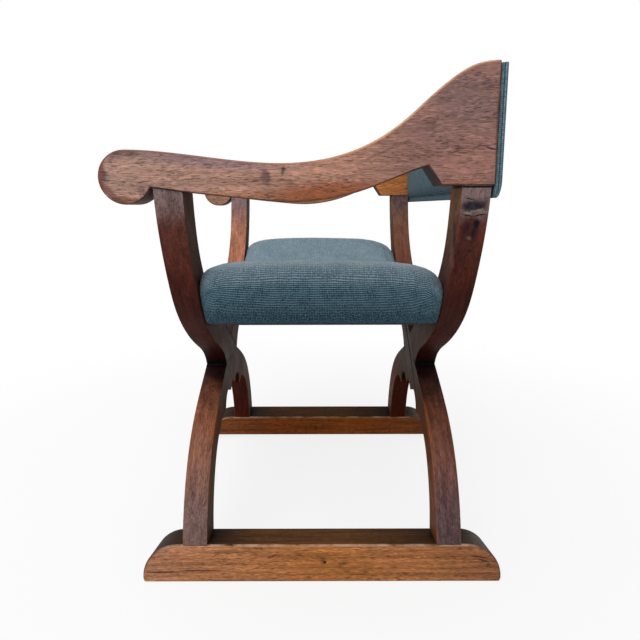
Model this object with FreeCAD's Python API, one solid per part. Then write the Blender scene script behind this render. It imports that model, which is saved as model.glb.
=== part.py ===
"""Hip-joint armchair: two crossed S-leg frames on runners, carved arms, upholstered seat and back.

X is the chair's width, Y its depth with the front at -Y, Z is up. The leg frames are drawn about
their own mid-plane, and every piece is moved at the end so that the origin lies on the floor under
the centre of the whole chair.
"""
import FreeCAD
import Part
import math
import os

V = FreeCAD.Vector

# Leg frames
FRAME_DEPTH = 460.0  # front face of the front frame to back face of the back frame
LEG_THICKNESS = 40.5
FOOT_HALF_WIDTH = 291.0
FOOT_WIDTH = 55.0
WAIST_HALF_WIDTH = 65.0
WAIST_HEIGHT = 306.0
HIP_TOP = 353.0
HIP_UNDERSIDE = 256.0
ARCH_HALF_WIDTH = 150.0  # where the curve inside the lower leg ends
ARCH_HEIGHT = 207.0
ARCH_LIP_HALF_WIDTH = 87.0
ARCH_LIP_HEIGHT = 211.0
LOBE_HEIGHT = 247.0
ARCH_SHOULDER_RISE = 8.0  # of the curve between the arch and its lip
HIP_LIP_HALF_WIDTH = 24.0
HIP_LIP_HEIGHT = 236.0
LEG_TOP_WIDTH = 57.0
LEG_TOP_SET_IN = 2.0  # from the arm's outer face
HIP_PEG_DIAMETER = 16.0
HIP_PEG_INSET = 4.0

# Mortise and tenon joints
TENON_THICKNESS = 14.0
TENON_WIDTH = 32.0
FOOT_TENON_LENGTH = 40.0
ARM_TENON_LENGTH = 30.0
TENON_GAP = 0.2
TENON_END_GAP = 1.0

# Runners
RUNNER_LENGTH = 598.0
RUNNER_HEIGHT = 68.5
RUNNER_WIDTH = 56.0
RUNNER_TOP_FALL = 8.0  # from the outer to the inner edge of the top
RUNNER_END_TAPER = 8.0  # how much sooner each end stops at the inner face
RUNNER_KNEE_HEIGHT = 8.5  # where the rounding of an end starts
RUNNER_CORNER_RADIUS = 8.0
RUNNER_PLANED_DEPTH = 1.0  # taken off the underside below the rounded corners
RUNNER_BEVEL_WIDTH = 24.0  # along the inner edge of the underside
RUNNER_BEVEL_HEIGHT = 11.0

# Arms
ARM_OUTER_X = 348.0
ARM_THICKNESS = 52.0
ARM_BACK_Y = 233.5
ARM_BACK_TOP = 807.0
ARM_BLOCK_UNDERSIDE = 647.0
ARM_BLOCK_LENGTH = 72.7
ARM_NOTCH_RUN = 17.7
ARM_NOTCH_RISE = 25.8
SCROLL_RADIUS = 36.4
SCROLL_CENTRE_Y = -265.7
SCROLL_CENTRE_Z = 658.2
SCROLL_HEEL_ANGLE = -22.0  # where the scroll meets the underside, from the level

# Seat
SEAT_GAP = 0.5  # between the upholstery and the inner faces of the leg frames
SEAT_UNDERSIDE = 392.0  # at the middle of the chair
SEAT_MIDDLE_THICKNESS = 69.0
SEAT_END_RISE = 39.0  # of the underside, from the middle to the ends
SEAT_END_HALF_WIDTH = 240.0
SEAT_END_HEIGHT = 106.0
SEAT_END_LEAN = 56.0
SEAT_CREST_RADIUS = 17.0
SEAT_CROWN = 3.0
CLOTH_THICKNESS = 2.0
BOTTOM_CLOTH_THICKNESS = 1.5
SLAT_THICKNESS = 12.0
SLAT_WIDTH = 44.0
SLAT_CENTRES = (125.0, 181.0)
DECK_THICKNESS = 8.0
SEAT_TENON_LENGTH = 14.0
RAIL_THICKNESS = 20.0
RAIL_HEIGHT = 84.0
RAIL_TENON_HEIGHT = 36.0
RAIL_PADDING = 6.0
TACK_COUNT = 8
TACK_HEAD_DIAMETER = 7.0
TACK_HEAD_THICKNESS = 0.8
TACK_SHANK_DIAMETER = 1.8
TACK_LENGTH = 10.0

# Back
BACK_SET_IN = 2.0  # from the arms' outer faces
BACK_TOP = 802.0
BACK_BOTTOM = 630.0
BACK_CLOTH_THICKNESS = 1.5
BACK_BOARD_THICKNESS = 7.0
BACK_PAD_EDGE_DEPTH = 7.0
BACK_PAD_CROWN_DEPTH = 14.0
BACK_PAD_ARM_GAP = 1.5
BACK_PAD_MARGIN = 4.0
BACK_CURL_HEIGHT = 24.0  # of the rounding behind the lower edge
BACK_LOWER_EDGE = 2.0  # thickness left at the lower edge
BACK_SCREW_DIAMETER = 4.0
BACK_SCREW_HEAD_DIAMETER = 8.0
BACK_SCREW_HEAD_HEIGHT = 2.4
BACK_SCREW_LENGTH = 30.0
BACK_SCREW_COUNT = 4
BACK_SCREW_MARGIN = 16.0

LEG_TOP_HALF_WIDTH = ARM_OUTER_X - LEG_TOP_SET_IN
LEG_TOP_HEIGHT = ARM_BLOCK_UNDERSIDE + 13  # before the leg is cut off along the arm's underside
BACK_HALF_WIDTH = ARM_OUTER_X - BACK_SET_IN
SEAT_END_UNDERSIDE = SEAT_UNDERSIDE + SEAT_END_RISE
SEAT_CREST_HEIGHT = SEAT_END_UNDERSIDE + SEAT_END_HEIGHT
SEAT_CREST_HALF_WIDTH = SEAT_END_HALF_WIDTH + SEAT_END_LEAN
SEAT_DIP_HEIGHT = SEAT_UNDERSIDE + SEAT_MIDDLE_THICKNESS
FRAME_OUTER_Y = FRAME_DEPTH / 2
FRAME_INNER_Y = FRAME_OUTER_Y - LEG_THICKNESS
ARM_INNER_X = ARM_OUTER_X - ARM_THICKNESS
BACK_BOARD_FRONT = ARM_BACK_Y + BACK_CLOTH_THICKNESS
BACK_BOARD_REAR = BACK_BOARD_FRONT + BACK_BOARD_THICKNESS
SEAT_HALF_DEPTH = FRAME_INNER_Y - SEAT_GAP


def line(a, b):
    return Part.LineSegment(a, b).toShape()


def arc(a, through, b):
    return Part.Arc(a, through, b).toShape()


def spline(points, start=None, end=None):
    """A smooth curve through the points, with optional directions at its two ends."""
    curve = Part.BSplineCurve()
    if start is None:
        curve.interpolate(points)
    else:
        curve.interpolate(Points=points, InitialTangent=start, FinalTangent=end)
    return curve.toShape()


def xz(pairs, sign=1.0):
    return [V(sign * x, 0, z) for x, z in pairs]


def between(start, end, shares):
    """Points at shares of the width and of the height from start to end."""
    return [(start[0] + a * (end[0] - start[0]), start[1] + b * (end[1] - start[1])) for a, b in shares]


def sagging(start, end, drops):
    """Points at shares of the way from start to end, each dropped below the straight line."""
    return [start + (end - start) * share - V(0, 0, drop) for share, drop in drops]


def prism(edges, start, length):
    """The closed outline of the edges, moved to start and drawn out along length."""
    face = Part.Face(Part.Wire(Part.__sortEdges__(edges)))
    face.translate(start)
    return face.extrude(length)


def block(x, y, z):
    """A box between three pairs of limits."""
    size = (x[1] - x[0], y[1] - y[0], z[1] - z[0])
    return Part.makeBox(size[0], size[1], size[2], V(x[0], y[0], z[0]))


def mirrored(shape):
    return shape.mirror(V(0, 0, 0), V(1, 0, 0))


def runner_top(x):
    """Height of a runner's sloping top at a distance x from the chair's middle."""
    return RUNNER_HEIGHT - RUNNER_TOP_FALL * (FOOT_HALF_WIDTH - x) / RUNNER_WIDTH


def lower_outer_points():
    """Outside of a lower leg from the waist down to the foot."""
    waist = (WAIST_HALF_WIDTH, WAIST_HEIGHT)
    foot = (FOOT_HALF_WIDTH, RUNNER_HEIGHT)
    shares = [(0.332, 0.156), (0.619, 0.337), (0.827, 0.573), (0.947, 0.817)]
    return [waist] + between(waist, foot, shares) + [foot]


def lower_inner_points():
    """Inside of a lower leg from the foot up to the arch."""
    inner_x = FOOT_HALF_WIDTH - FOOT_WIDTH
    foot = (inner_x, runner_top(inner_x))
    arch = (ARCH_HALF_WIDTH, ARCH_HEIGHT)
    return [foot] + between(foot, arch, [(0.116, 0.351), (0.372, 0.665), (0.674, 0.877)]) + [arch]


def upper_outer_points():
    """Outside of an upper leg from the waist to its top."""
    waist = (WAIST_HALF_WIDTH, WAIST_HEIGHT)
    top = (LEG_TOP_HALF_WIDTH, LEG_TOP_HEIGHT)
    shares = [(0.068, 0.073), (0.266, 0.17), (0.522, 0.294), (0.718, 0.438), (0.853, 0.616), (0.941, 0.783)]
    return [waist] + between(waist, top, shares) + [top]


def upper_inner_points():
    """Upper edge of a leg from the opposite waist, over the hip, to its top."""
    hip = (0, HIP_TOP)
    top = (LEG_TOP_HALF_WIDTH - LEG_TOP_WIDTH, LEG_TOP_HEIGHT)
    shares = [(0.412, 0.231), (0.779, 0.489), (0.907, 0.661), (0.967, 0.824)]
    return [(-WAIST_HALF_WIDTH, WAIST_HEIGHT), hip] + between(hip, top, shares) + [top]


def leg_outline():
    """The S-shaped outline that rises from the left foot to the right arm."""
    outer = xz(lower_outer_points(), -1)
    inner = xz(lower_inner_points(), -1)
    upper_outer = xz(upper_outer_points())
    upper_inner = xz(upper_inner_points())
    arch_lip = V(-ARCH_LIP_HALF_WIDTH, 0, ARCH_LIP_HEIGHT)
    arch_middle = (arch_lip + inner[-1]) / 2 + V(0, 0, ARCH_SHOULDER_RISE)
    hip_lip = V(-HIP_LIP_HALF_WIDTH, 0, HIP_LIP_HEIGHT)
    lobe = V(-(ARCH_LIP_HALF_WIDTH + 1.6 * HIP_LIP_HALF_WIDTH) / 2, 0, LOBE_HEIGHT)
    return [
        spline(outer),
        spline(upper_inner),
        line(upper_inner[-1], upper_outer[-1]),
        spline(upper_outer),
        arc(upper_outer[0], V(0, 0, HIP_UNDERSIDE), hip_lip),
        arc(hip_lip, lobe, arch_lip),
        arc(arch_lip, arch_middle, inner[-1]),
        spline(inner),
        line(inner[0], outer[-1]),
    ]


def leg_blank(y, thickness):
    return prism(leg_outline(), V(0, y, 0), V(0, thickness, 0))


def foot_tenon(centre_y, gap=0.0, end_gap=0.0):
    """Tenon of the left foot, or its mortise when gaps are given."""
    middle = -(FOOT_HALF_WIDTH - FOOT_WIDTH / 2)
    half_x = TENON_WIDTH / 2 + gap
    half_y = TENON_THICKNESS / 2 + gap
    bottom = RUNNER_HEIGHT - FOOT_TENON_LENGTH - end_gap
    return block((middle - half_x, middle + half_x), (centre_y - half_y, centre_y + half_y),
                 (bottom, RUNNER_HEIGHT + TENON_THICKNESS))


def arm_tenon(centre_y, gap=0.0, end_gap=0.0):
    """Tenon at the top of the right-hand leg, or its mortise when gaps are given."""
    middle = (ARM_INNER_X + LEG_TOP_HALF_WIDTH) / 2
    half_x = TENON_WIDTH / 2 + gap
    half_y = TENON_THICKNESS / 2 + gap
    top = ARM_BLOCK_UNDERSIDE + ARM_TENON_LENGTH + end_gap
    return block((middle - half_x, middle + half_x), (centre_y - half_y, centre_y + half_y),
                 (ARM_BLOCK_UNDERSIDE - 2 * TENON_THICKNESS, top))


def leg(front_y, keeps_rear_half):
    """One S-leg from the left foot to the right arm, halved at the hip across its mirror image."""
    centre_y = front_y + LEG_THICKNESS / 2
    arm_space = prism(arm_outline(), V(0, 0, 0), V(ARM_OUTER_X, 0, 0))
    body = leg_blank(front_y, LEG_THICKNESS).cut(arm_space)
    other = mirrored(leg_blank(front_y if keeps_rear_half else centre_y, LEG_THICKNESS / 2))
    body = body.cut(other)
    return body.fuse([foot_tenon(centre_y), arm_tenon(centre_y)]).removeSplitter()


def hip_peg(front_y):
    """Wooden peg through the middle of a halved hip."""
    middle = (HIP_TOP + HIP_UNDERSIDE) / 2
    return Part.makeCylinder(HIP_PEG_DIAMETER / 2, LEG_THICKNESS - 2 * HIP_PEG_INSET,
                             V(0, front_y + HIP_PEG_INSET, middle), V(0, 1, 0))


def runner_side(x, half_length, height):
    """Outline of a runner's side at x, with its two rounded ends."""
    radius = height - RUNNER_KNEE_HEIGHT
    corner = RUNNER_CORNER_RADIUS
    bend = math.sqrt(0.5)
    base = -RUNNER_PLANED_DEPTH
    edges = [line(V(x, corner - half_length, base), V(x, half_length - corner, base)),
             line(V(x, radius - half_length, height), V(x, half_length - radius, height))]
    for side in (-1, 1):
        foot = V(x, side * (half_length - corner), base)
        toe = V(x, side * half_length, base + corner)
        knee = V(x, side * half_length, RUNNER_KNEE_HEIGHT)
        top = V(x, side * (half_length - radius), height)
        corner_middle = V(x, foot.y + side * corner * bend, toe.z - corner * bend)
        curve_middle = V(x, top.y + side * radius * bend, RUNNER_KNEE_HEIGHT + radius * bend)
        edges += [arc(foot, corner_middle, toe), line(toe, knee), arc(knee, curve_middle, top)]
    return Part.Wire(Part.__sortEdges__(edges))


def runner_blank():
    """The right-hand runner before its mortises are cut."""
    end = RUNNER_LENGTH / 2
    inner_x = FOOT_HALF_WIDTH - RUNNER_WIDTH
    outer = runner_side(FOOT_HALF_WIDTH, end, RUNNER_HEIGHT)
    inner = runner_side(inner_x, end - RUNNER_END_TAPER, RUNNER_HEIGHT - RUNNER_TOP_FALL)
    body = Part.makeLoft([outer, inner], True, True)
    corners = [V(inner_x, 0, 0), V(inner_x + RUNNER_BEVEL_WIDTH, 0, 0), V(inner_x, 0, RUNNER_BEVEL_HEIGHT)]
    bevel = prism([line(corners[i], corners[(i + 1) % 3]) for i in range(3)], V(0, -end, 0), V(0, 2 * end, 0))
    planed = block((inner_x, FOOT_HALF_WIDTH), (-end, end), (-2 * RUNNER_PLANED_DEPTH, 0))
    return body.cut([bevel, planed])


def arm_outline():
    """Outline of an arm seen from the side, from the scroll over the back and along the underside."""
    centre = V(0, SCROLL_CENTRE_Y, SCROLL_CENTRE_Z)

    def on_scroll(degrees):
        angle = math.radians(degrees)
        return centre + V(0, math.cos(angle), math.sin(angle)) * SCROLL_RADIUS

    heel = on_scroll(SCROLL_HEEL_ANGLE)
    back_top = V(0, ARM_BACK_Y, ARM_BACK_TOP)
    back_bottom = V(0, ARM_BACK_Y, ARM_BLOCK_UNDERSIDE)
    block_front = V(0, ARM_BACK_Y - ARM_BLOCK_LENGTH, ARM_BLOCK_UNDERSIDE)
    notch = block_front + V(0, -ARM_NOTCH_RUN, ARM_NOTCH_RISE)
    top_drops = [(0.108, 15.3), (0.252, 40), (0.412, 64.3), (0.532, 73), (0.65, 67.7), (0.743, 49.6),
                 (0.835, 19.4), (0.913, 0.2)]
    underside_drops = [(0.131, 14.4), (0.221, 24.6), (0.344, 32.6), (0.488, 33.8), (0.648, 25.5), (0.872, 10.2)]
    top = [on_scroll(90)] + sagging(on_scroll(90), back_top, top_drops) + [back_top]
    underside = [notch] + sagging(notch, heel, underside_drops) + [heel]
    return [
        spline(top, V(0, 1, 0), V(0, 1, 0.05)),
        line(back_top, back_bottom),
        line(back_bottom, block_front),
        line(block_front, notch),
        spline(underside),
        arc(heel, on_scroll((SCROLL_HEEL_ANGLE - 90) / 2), on_scroll(-90)),
        arc(on_scroll(-90), on_scroll(-135), on_scroll(180)),
        arc(on_scroll(180), on_scroll(135), on_scroll(90)),
    ]


def arm_blank():
    return prism(arm_outline(), V(ARM_INNER_X, 0, 0), V(ARM_THICKNESS, 0, 0))


def seat_ring_centre():
    """Centre height and radius of the arc that the seat's underside hangs in."""
    radius = (SEAT_END_HALF_WIDTH ** 2 + SEAT_END_RISE ** 2) / (2 * SEAT_END_RISE)
    return SEAT_UNDERSIDE + radius, radius


def seat_layer(depth_in, thickness, x_limits, half_depth):
    """A curved layer of the seat, depth_in above its underside, between two X limits."""
    centre_z, radius = seat_ring_centre()
    outer = radius - depth_in
    inner = outer - thickness
    ring = Part.makeCylinder(outer, 2 * half_depth, V(0, -half_depth, centre_z), V(0, 1, 0))
    ring = ring.cut(Part.makeCylinder(inner, 2 * half_depth, V(0, -half_depth, centre_z), V(0, 1, 0)))
    return ring.common(block(x_limits, (-half_depth, half_depth), (SEAT_UNDERSIDE - 10, SEAT_CREST_HEIGHT)))


def seat_section(y, drop, inset):
    """Cross-section of the upholstered seat at depth y, its top lowered by drop.

    An inset section is the cloth's inside, and runs out a little under the seat.
    """
    slope = SEAT_END_LEAN / (SEAT_END_HEIGHT - SEAT_CREST_RADIUS)
    bottom_drop = inset / 2
    end = V(SEAT_END_HALF_WIDTH - inset - slope * bottom_drop, y, SEAT_END_UNDERSIDE - bottom_drop)
    crest_z = SEAT_CREST_HEIGHT - drop - inset
    shoulder_z = crest_z - SEAT_CREST_RADIUS
    shoulder = V(end.x + slope * (shoulder_z - end.z), y, shoulder_z)
    bulge = V((end.x + shoulder.x) / 2 + 4, y, (end.z + shoulder.z) / 2)
    crest_middle = V(shoulder.x - 0.42 * SEAT_CREST_RADIUS, y, crest_z - 0.2 * SEAT_CREST_RADIUS)
    crest = V(shoulder.x - 1.5 * SEAT_CREST_RADIUS, y, crest_z)
    dip = V(0, y, SEAT_DIP_HEIGHT - inset - 0.6 * drop)
    bottom = V(0, y, SEAT_UNDERSIDE - bottom_drop)

    def left(point):
        return V(-point.x, point.y, point.z)

    return Part.Wire([
        arc(left(end), bottom, end),
        arc(end, bulge, shoulder),
        arc(shoulder, crest_middle, crest),
        arc(crest, dip, left(crest)),
        arc(left(crest), left(crest_middle), left(shoulder)),
        arc(left(shoulder), left(bulge), left(end)),
    ])


def seat_form(inset):
    """The saddle-shaped seat with its crown and its rounded front and rear edges."""
    reach = SEAT_HALF_DEPTH - inset
    stations = [(-reach, 30), (-reach + 5, 15), (-reach + 20, 4), (-reach + 50, 0), (-20, -SEAT_CROWN),
                (reach - 84, 0), (reach - 52, 7), (reach - 28, 18), (reach - 10, 31), (reach, 44)]
    return Part.makeLoft([seat_section(y, drop, inset) for y, drop in stations], True, True)


def side_rail_blank(half_depth, below, above):
    """Sloping board inside the right-hand end of the seat, from below to above the seat's lower edge."""
    up = V(SEAT_END_LEAN, 0, SEAT_END_HEIGHT - SEAT_CREST_RADIUS).normalize()
    inward = V(-up.z, 0, up.x)
    foot = V(SEAT_END_HALF_WIDTH, 0, SEAT_END_UNDERSIDE) + inward * (CLOTH_THICKNESS + RAIL_PADDING)
    low = foot - up * below
    high = foot + up * above
    corners = [low, high, high + inward * RAIL_THICKNESS, low + inward * RAIL_THICKNESS]
    edges = [line(corners[i], corners[(i + 1) % 4]) for i in range(4)]
    return prism(edges, V(0, -half_depth, 0), V(0, 2 * half_depth, 0))


def inside_bottom_cloth(shape):
    """The part of the shape above the seat's bottom cloth."""
    centre_z, radius = seat_ring_centre()
    size = FRAME_DEPTH
    drum = Part.makeCylinder(radius - BOTTOM_CLOTH_THICKNESS, size, V(0, -size / 2, centre_z), V(0, 1, 0))
    return shape.common(drum)


def side_rail():
    """A side rail shaped to the seat, with a low stub let into each leg frame."""
    body = side_rail_blank(SEAT_HALF_DEPTH, RAIL_THICKNESS, RAIL_HEIGHT)
    body = body.common(seat_form(CLOTH_THICKNESS + RAIL_PADDING))
    stub = side_rail_blank(FRAME_INNER_Y + SEAT_TENON_LENGTH, 0.0, RAIL_TENON_HEIGHT)
    return inside_bottom_cloth(body.fuse(stub)).removeSplitter()


def slat(centre_x):
    """A seat slat whose ends are let into the leg frames."""
    limits = (centre_x - SLAT_WIDTH / 2, centre_x + SLAT_WIDTH / 2)
    return seat_layer(BOTTOM_CLOTH_THICKNESS, SLAT_THICKNESS, limits, FRAME_INNER_Y + SEAT_TENON_LENGTH)


def seat_deck():
    """Bent board that lies on the slats between the side rails."""
    reach = SEAT_END_HALF_WIDTH
    deck = seat_layer(BOTTOM_CLOTH_THICKNESS + SLAT_THICKNESS, DECK_THICKNESS, (-reach, reach),
                      SEAT_HALF_DEPTH - CLOTH_THICKNESS)
    rail = side_rail_blank(FRAME_INNER_Y, RAIL_THICKNESS, RAIL_HEIGHT)
    return max(deck.cut([rail, mirrored(rail)]).Solids, key=lambda solid: solid.Volume)


def below_deck():
    """Everything between the side rails and under the top of the deck."""
    depth = BOTTOM_CLOTH_THICKNESS + SLAT_THICKNESS + DECK_THICKNESS
    centre_z, radius = seat_ring_centre()
    reach = SEAT_CREST_HALF_WIDTH
    slab = block((-reach, reach), (-FRAME_INNER_Y, FRAME_INNER_Y), (SEAT_UNDERSIDE - 40, SEAT_CREST_HEIGHT))
    return slab.cut(Part.makeCylinder(radius - depth, FRAME_DEPTH, V(0, -FRAME_OUTER_Y, centre_z), V(0, 1, 0)))


def seat_padding(rails):
    """Stuffing that fills the cover above the deck and around the side rails."""
    body = inside_bottom_cloth(seat_form(CLOTH_THICKNESS)).cut(rails + [below_deck()])
    return max(body.Solids, key=lambda solid: solid.Volume)


def seat_cover(let_in):
    """Cloth over the top, ends, front and back of the seat, cut round the pieces that run through it."""
    return seat_form(0.0).cut([seat_form(CLOTH_THICKNESS)] + let_in)


def bottom_cloth():
    reach = SEAT_END_HALF_WIDTH - CLOTH_THICKNESS - 1
    return seat_layer(0.0, BOTTOM_CLOTH_THICKNESS, (-reach, reach), SEAT_HALF_DEPTH - CLOTH_THICKNESS)


def seat_tacks():
    """Tacks that hold the bottom cloth to the undersides of the two side rails."""
    centre_z, radius = seat_ring_centre()
    lean = math.asin((SEAT_END_HALF_WIDTH - CLOTH_THICKNESS - RAIL_PADDING - RAIL_THICKNESS / 2) / radius)
    spacing = 2 * SEAT_HALF_DEPTH / TACK_COUNT
    tacks = []
    for side in (-1, 1):
        outward = V(side * math.sin(lean), 0, -math.cos(lean))
        for number in range(TACK_COUNT):
            y = (number + 0.5) * spacing - SEAT_HALF_DEPTH
            foot = V(0, y, centre_z) + outward * radius
            head = Part.makeCylinder(TACK_HEAD_DIAMETER / 2, TACK_HEAD_THICKNESS, foot, outward)
            shank = Part.makeCylinder(TACK_SHANK_DIAMETER / 2, TACK_LENGTH, foot, outward * -1)
            tacks.append(head.fuse(shank).removeSplitter())
    return tacks


def back_pad_section(z, depth, grow):
    """Plan of the back padding at height z, bulging depth in front of the board."""
    half = ARM_INNER_X - BACK_PAD_ARM_GAP - BACK_CLOTH_THICKNESS + grow
    rear = BACK_BOARD_FRONT
    edge = rear - depth * BACK_PAD_EDGE_DEPTH / BACK_PAD_CROWN_DEPTH - grow
    crown = rear - depth - grow
    corners = [V(-half, rear, z), V(half, rear, z), V(half, edge, z), V(-half, edge, z)]
    return Part.Wire([line(corners[0], corners[1]), line(corners[1], corners[2]),
                      arc(corners[2], V(0, crown, z), corners[3]), line(corners[3], corners[0])])


def back_pad_form(grow):
    """Padding of the back between the arms, crowned both ways."""
    low = ARM_BLOCK_UNDERSIDE + BACK_PAD_ARM_GAP + BACK_CLOTH_THICKNESS - grow
    high = BACK_TOP - BACK_PAD_MARGIN + grow
    full = BACK_PAD_CROWN_DEPTH
    stations = [(low, 0.45 * full), (low + 8, 0.75 * full), (low + 30, 0.95 * full), ((low + high) / 2, full),
                (high - 30, 0.95 * full), (high - 8, 0.75 * full), (high, 0.45 * full)]
    return Part.makeLoft([back_pad_section(z, depth, grow) for z, depth in stations], True, True)


def back_panel(grow):
    """The flat panel of the back, rounded off behind its lower edge, with its outside grown."""
    front = BACK_BOARD_FRONT - grow
    rear = BACK_BOARD_REAR + grow
    low = BACK_BOTTOM + BACK_CLOTH_THICKNESS - grow
    high = BACK_TOP - BACK_CLOTH_THICKNESS + grow
    edge = BACK_HALF_WIDTH - BACK_CLOTH_THICKNESS + grow
    toe = V(0, front + BACK_LOWER_EDGE + grow, low)
    heel = V(0, rear, low + BACK_CURL_HEIGHT)
    curl = toe + (heel - toe) * 0.5 + V(0, 0.16 * (rear - front), -0.16 * BACK_CURL_HEIGHT)
    edges = [line(V(0, front, low), V(0, front, high)), line(V(0, front, high), V(0, rear, high)),
             line(V(0, rear, high), heel), arc(heel, curl, toe), line(toe, V(0, front, low))]
    return prism(edges, V(-edge, 0, 0), V(2 * edge, 0, 0))


def half_of_back(shape, is_front):
    """The part of the shape in front of or behind the seam round the back's edge."""
    middle = (ARM_BACK_Y + BACK_BOARD_REAR + BACK_CLOTH_THICKNESS) / 2
    limits = (ARM_BACK_Y - FRAME_DEPTH, middle) if is_front else (middle, ARM_BACK_Y + FRAME_DEPTH)
    return shape.common(block((-FRAME_DEPTH, FRAME_DEPTH), limits, (0, 2 * BACK_TOP)))


def back_front_cover(board, pad):
    """Cloth over the front of the padding and round the edges of the board to the seam."""
    wrap = back_panel(BACK_CLOTH_THICKNESS).fuse(back_pad_form(BACK_CLOTH_THICKNESS))
    return half_of_back(wrap, True).cut([board, pad]).removeSplitter()


def back_rear_cover(board):
    """Cloth over the back of the board and round its edges to the seam."""
    return half_of_back(back_panel(BACK_CLOTH_THICKNESS), False).cut(board)


def back_screws():
    """Countersunk screws through the board into the back edges of the arms."""
    low = ARM_BLOCK_UNDERSIDE + ARM_TENON_LENGTH + BACK_SCREW_MARGIN
    step = (BACK_TOP - BACK_SCREW_MARGIN - low) / (BACK_SCREW_COUNT - 1)
    screws = []
    for x in (-1, 1):
        for number in range(BACK_SCREW_COUNT):
            head_end = V(x * (ARM_OUTER_X - ARM_THICKNESS / 2), BACK_BOARD_REAR, low + number * step)
            forward = V(0, -1, 0)
            head = Part.makeCone(BACK_SCREW_HEAD_DIAMETER / 2, BACK_SCREW_DIAMETER / 2, BACK_SCREW_HEAD_HEIGHT,
                                 head_end, forward)
            shank = Part.makeCylinder(BACK_SCREW_DIAMETER / 2, BACK_SCREW_LENGTH, head_end, forward)
            screws.append(head.fuse(shank).removeSplitter())
    return screws


def build():
    """Every piece by its name."""
    parts = {}
    arm_right = arm_blank()
    arm_left = mirrored(arm_right)
    runner_right = runner_blank()
    runner_left = mirrored(runner_right)
    front_y = -FRAME_OUTER_Y
    back_y = FRAME_INNER_Y
    rail_right = side_rail()
    rails = [rail_right, mirrored(rail_right)]
    slats = {}
    for number, x in enumerate(SLAT_CENTRES, 1):
        slats[f"seat_slat_right_{number}"] = slat(x)
        slats[f"seat_slat_left_{number}"] = slat(-x)
    let_in = rails + list(slats.values())
    for name, y in (("front", front_y), ("back", back_y)):
        centre_y = y + LEG_THICKNESS / 2
        peg = hip_peg(y)
        rising_right = leg(y, True).cut([peg] + let_in)
        rising_left = mirrored(leg(y, False)).cut([peg] + let_in)
        parts[f"{name}_leg_left_foot"] = rising_right
        parts[f"{name}_leg_right_foot"] = rising_left
        parts[f"{name}_hip_peg"] = peg
        mortise = foot_tenon(centre_y, TENON_GAP, TENON_END_GAP)
        runner_left = runner_left.cut(mortise)
        runner_right = runner_right.cut(mirrored(mortise))
        socket = arm_tenon(centre_y, TENON_GAP, TENON_END_GAP)
        arm_right = arm_right.cut(socket)
        arm_left = arm_left.cut(mirrored(socket))
    screws = back_screws()
    board = back_panel(0.0)
    pad = back_pad_form(0.0)
    parts["runner_left"] = runner_left
    parts["runner_right"] = runner_right
    parts["arm_left"] = arm_left.cut(screws)
    parts["arm_right"] = arm_right.cut(screws)
    parts["seat_side_rail_left"] = rails[1]
    parts["seat_side_rail_right"] = rails[0]
    parts.update(slats)
    parts["seat_deck"] = seat_deck()
    parts["seat_padding"] = seat_padding(rails)
    parts["seat_cover"] = seat_cover(let_in)
    tacks = seat_tacks()
    parts["seat_bottom_cloth"] = bottom_cloth().cut(tacks)
    for name in ("seat_side_rail_left", "seat_side_rail_right"):
        parts[name] = parts[name].cut(tacks)
    parts["seat_tacks"] = Part.makeCompound(tacks)
    parts["back_board"] = board.cut(screws)
    parts["back_padding"] = pad
    parts["back_front_cover"] = back_front_cover(board, pad).cut(screws)
    parts["back_rear_cover"] = back_rear_cover(board)
    parts["back_screws"] = Part.makeCompound(screws)
    return parts


def main():
    scroll_reach = SCROLL_RADIUS - SCROLL_CENTRE_Y
    centring = V(0, (scroll_reach - RUNNER_LENGTH / 2) / 2, 0)
    os.makedirs("parts", exist_ok=True)
    for name, shape in build().items():
        shape.translate(centring)
        shape.exportStep(f"parts/{name}.step")
        print(name, len(shape.Solids), shape.isValid(), round(shape.Volume / 1000, 1))


main()
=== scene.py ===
"""Looks of a hip-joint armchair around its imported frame: worn waxed walnut and ribbed grey-blue upholstery.

Lengths are in metres in the row frame: X is the chair's width, the front is at -Y, and Z is up.
"""

import cmath
import logging
import math
from dataclasses import dataclass
from enum import Enum
from typing import Any, Callable

import bmesh
import bpy
import numpy as np
from mathutils import Euler, Matrix, Vector


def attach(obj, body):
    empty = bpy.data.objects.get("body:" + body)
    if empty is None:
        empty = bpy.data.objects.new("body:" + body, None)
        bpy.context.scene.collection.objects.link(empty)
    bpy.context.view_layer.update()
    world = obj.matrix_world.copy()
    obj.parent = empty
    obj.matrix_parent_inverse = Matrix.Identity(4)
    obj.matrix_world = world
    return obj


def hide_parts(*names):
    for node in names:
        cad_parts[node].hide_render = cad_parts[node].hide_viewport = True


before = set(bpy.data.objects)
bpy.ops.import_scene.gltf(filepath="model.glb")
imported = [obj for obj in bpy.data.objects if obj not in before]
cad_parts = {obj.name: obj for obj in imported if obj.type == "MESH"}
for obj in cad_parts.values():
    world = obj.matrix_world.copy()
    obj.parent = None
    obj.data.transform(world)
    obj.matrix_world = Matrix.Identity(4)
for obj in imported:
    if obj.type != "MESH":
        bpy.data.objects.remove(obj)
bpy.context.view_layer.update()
LOG = logging.getLogger("armchair")
MM = 0.001
TOUCH = 0.05 * MM  # points this near to a face lie on it
WELD = 0.01 * MM  # vertices this near are one
CLOTH_THICKNESS = 0.9 * MM

Point = tuple[float, float, float]
Stops = tuple[tuple[float, str], ...]  # places and colours
Profile = tuple[tuple[float, float], ...]  # places and values
Piece = bpy.types.Object
Tree = bpy.types.NodeTree
Socket = bpy.types.NodeSocket


class Side(Enum):
    """The chair's two sides, each with the sign of its X."""

    LEFT = -1
    RIGHT = 1

    @property
    def label(self) -> str:
        """The side's word in the names of pieces."""
        return self.name.lower()


class End(Enum):
    """The chair's two leg frames, each with its word in the names of pieces."""

    FRONT = "front"
    BACK = "back"


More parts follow.
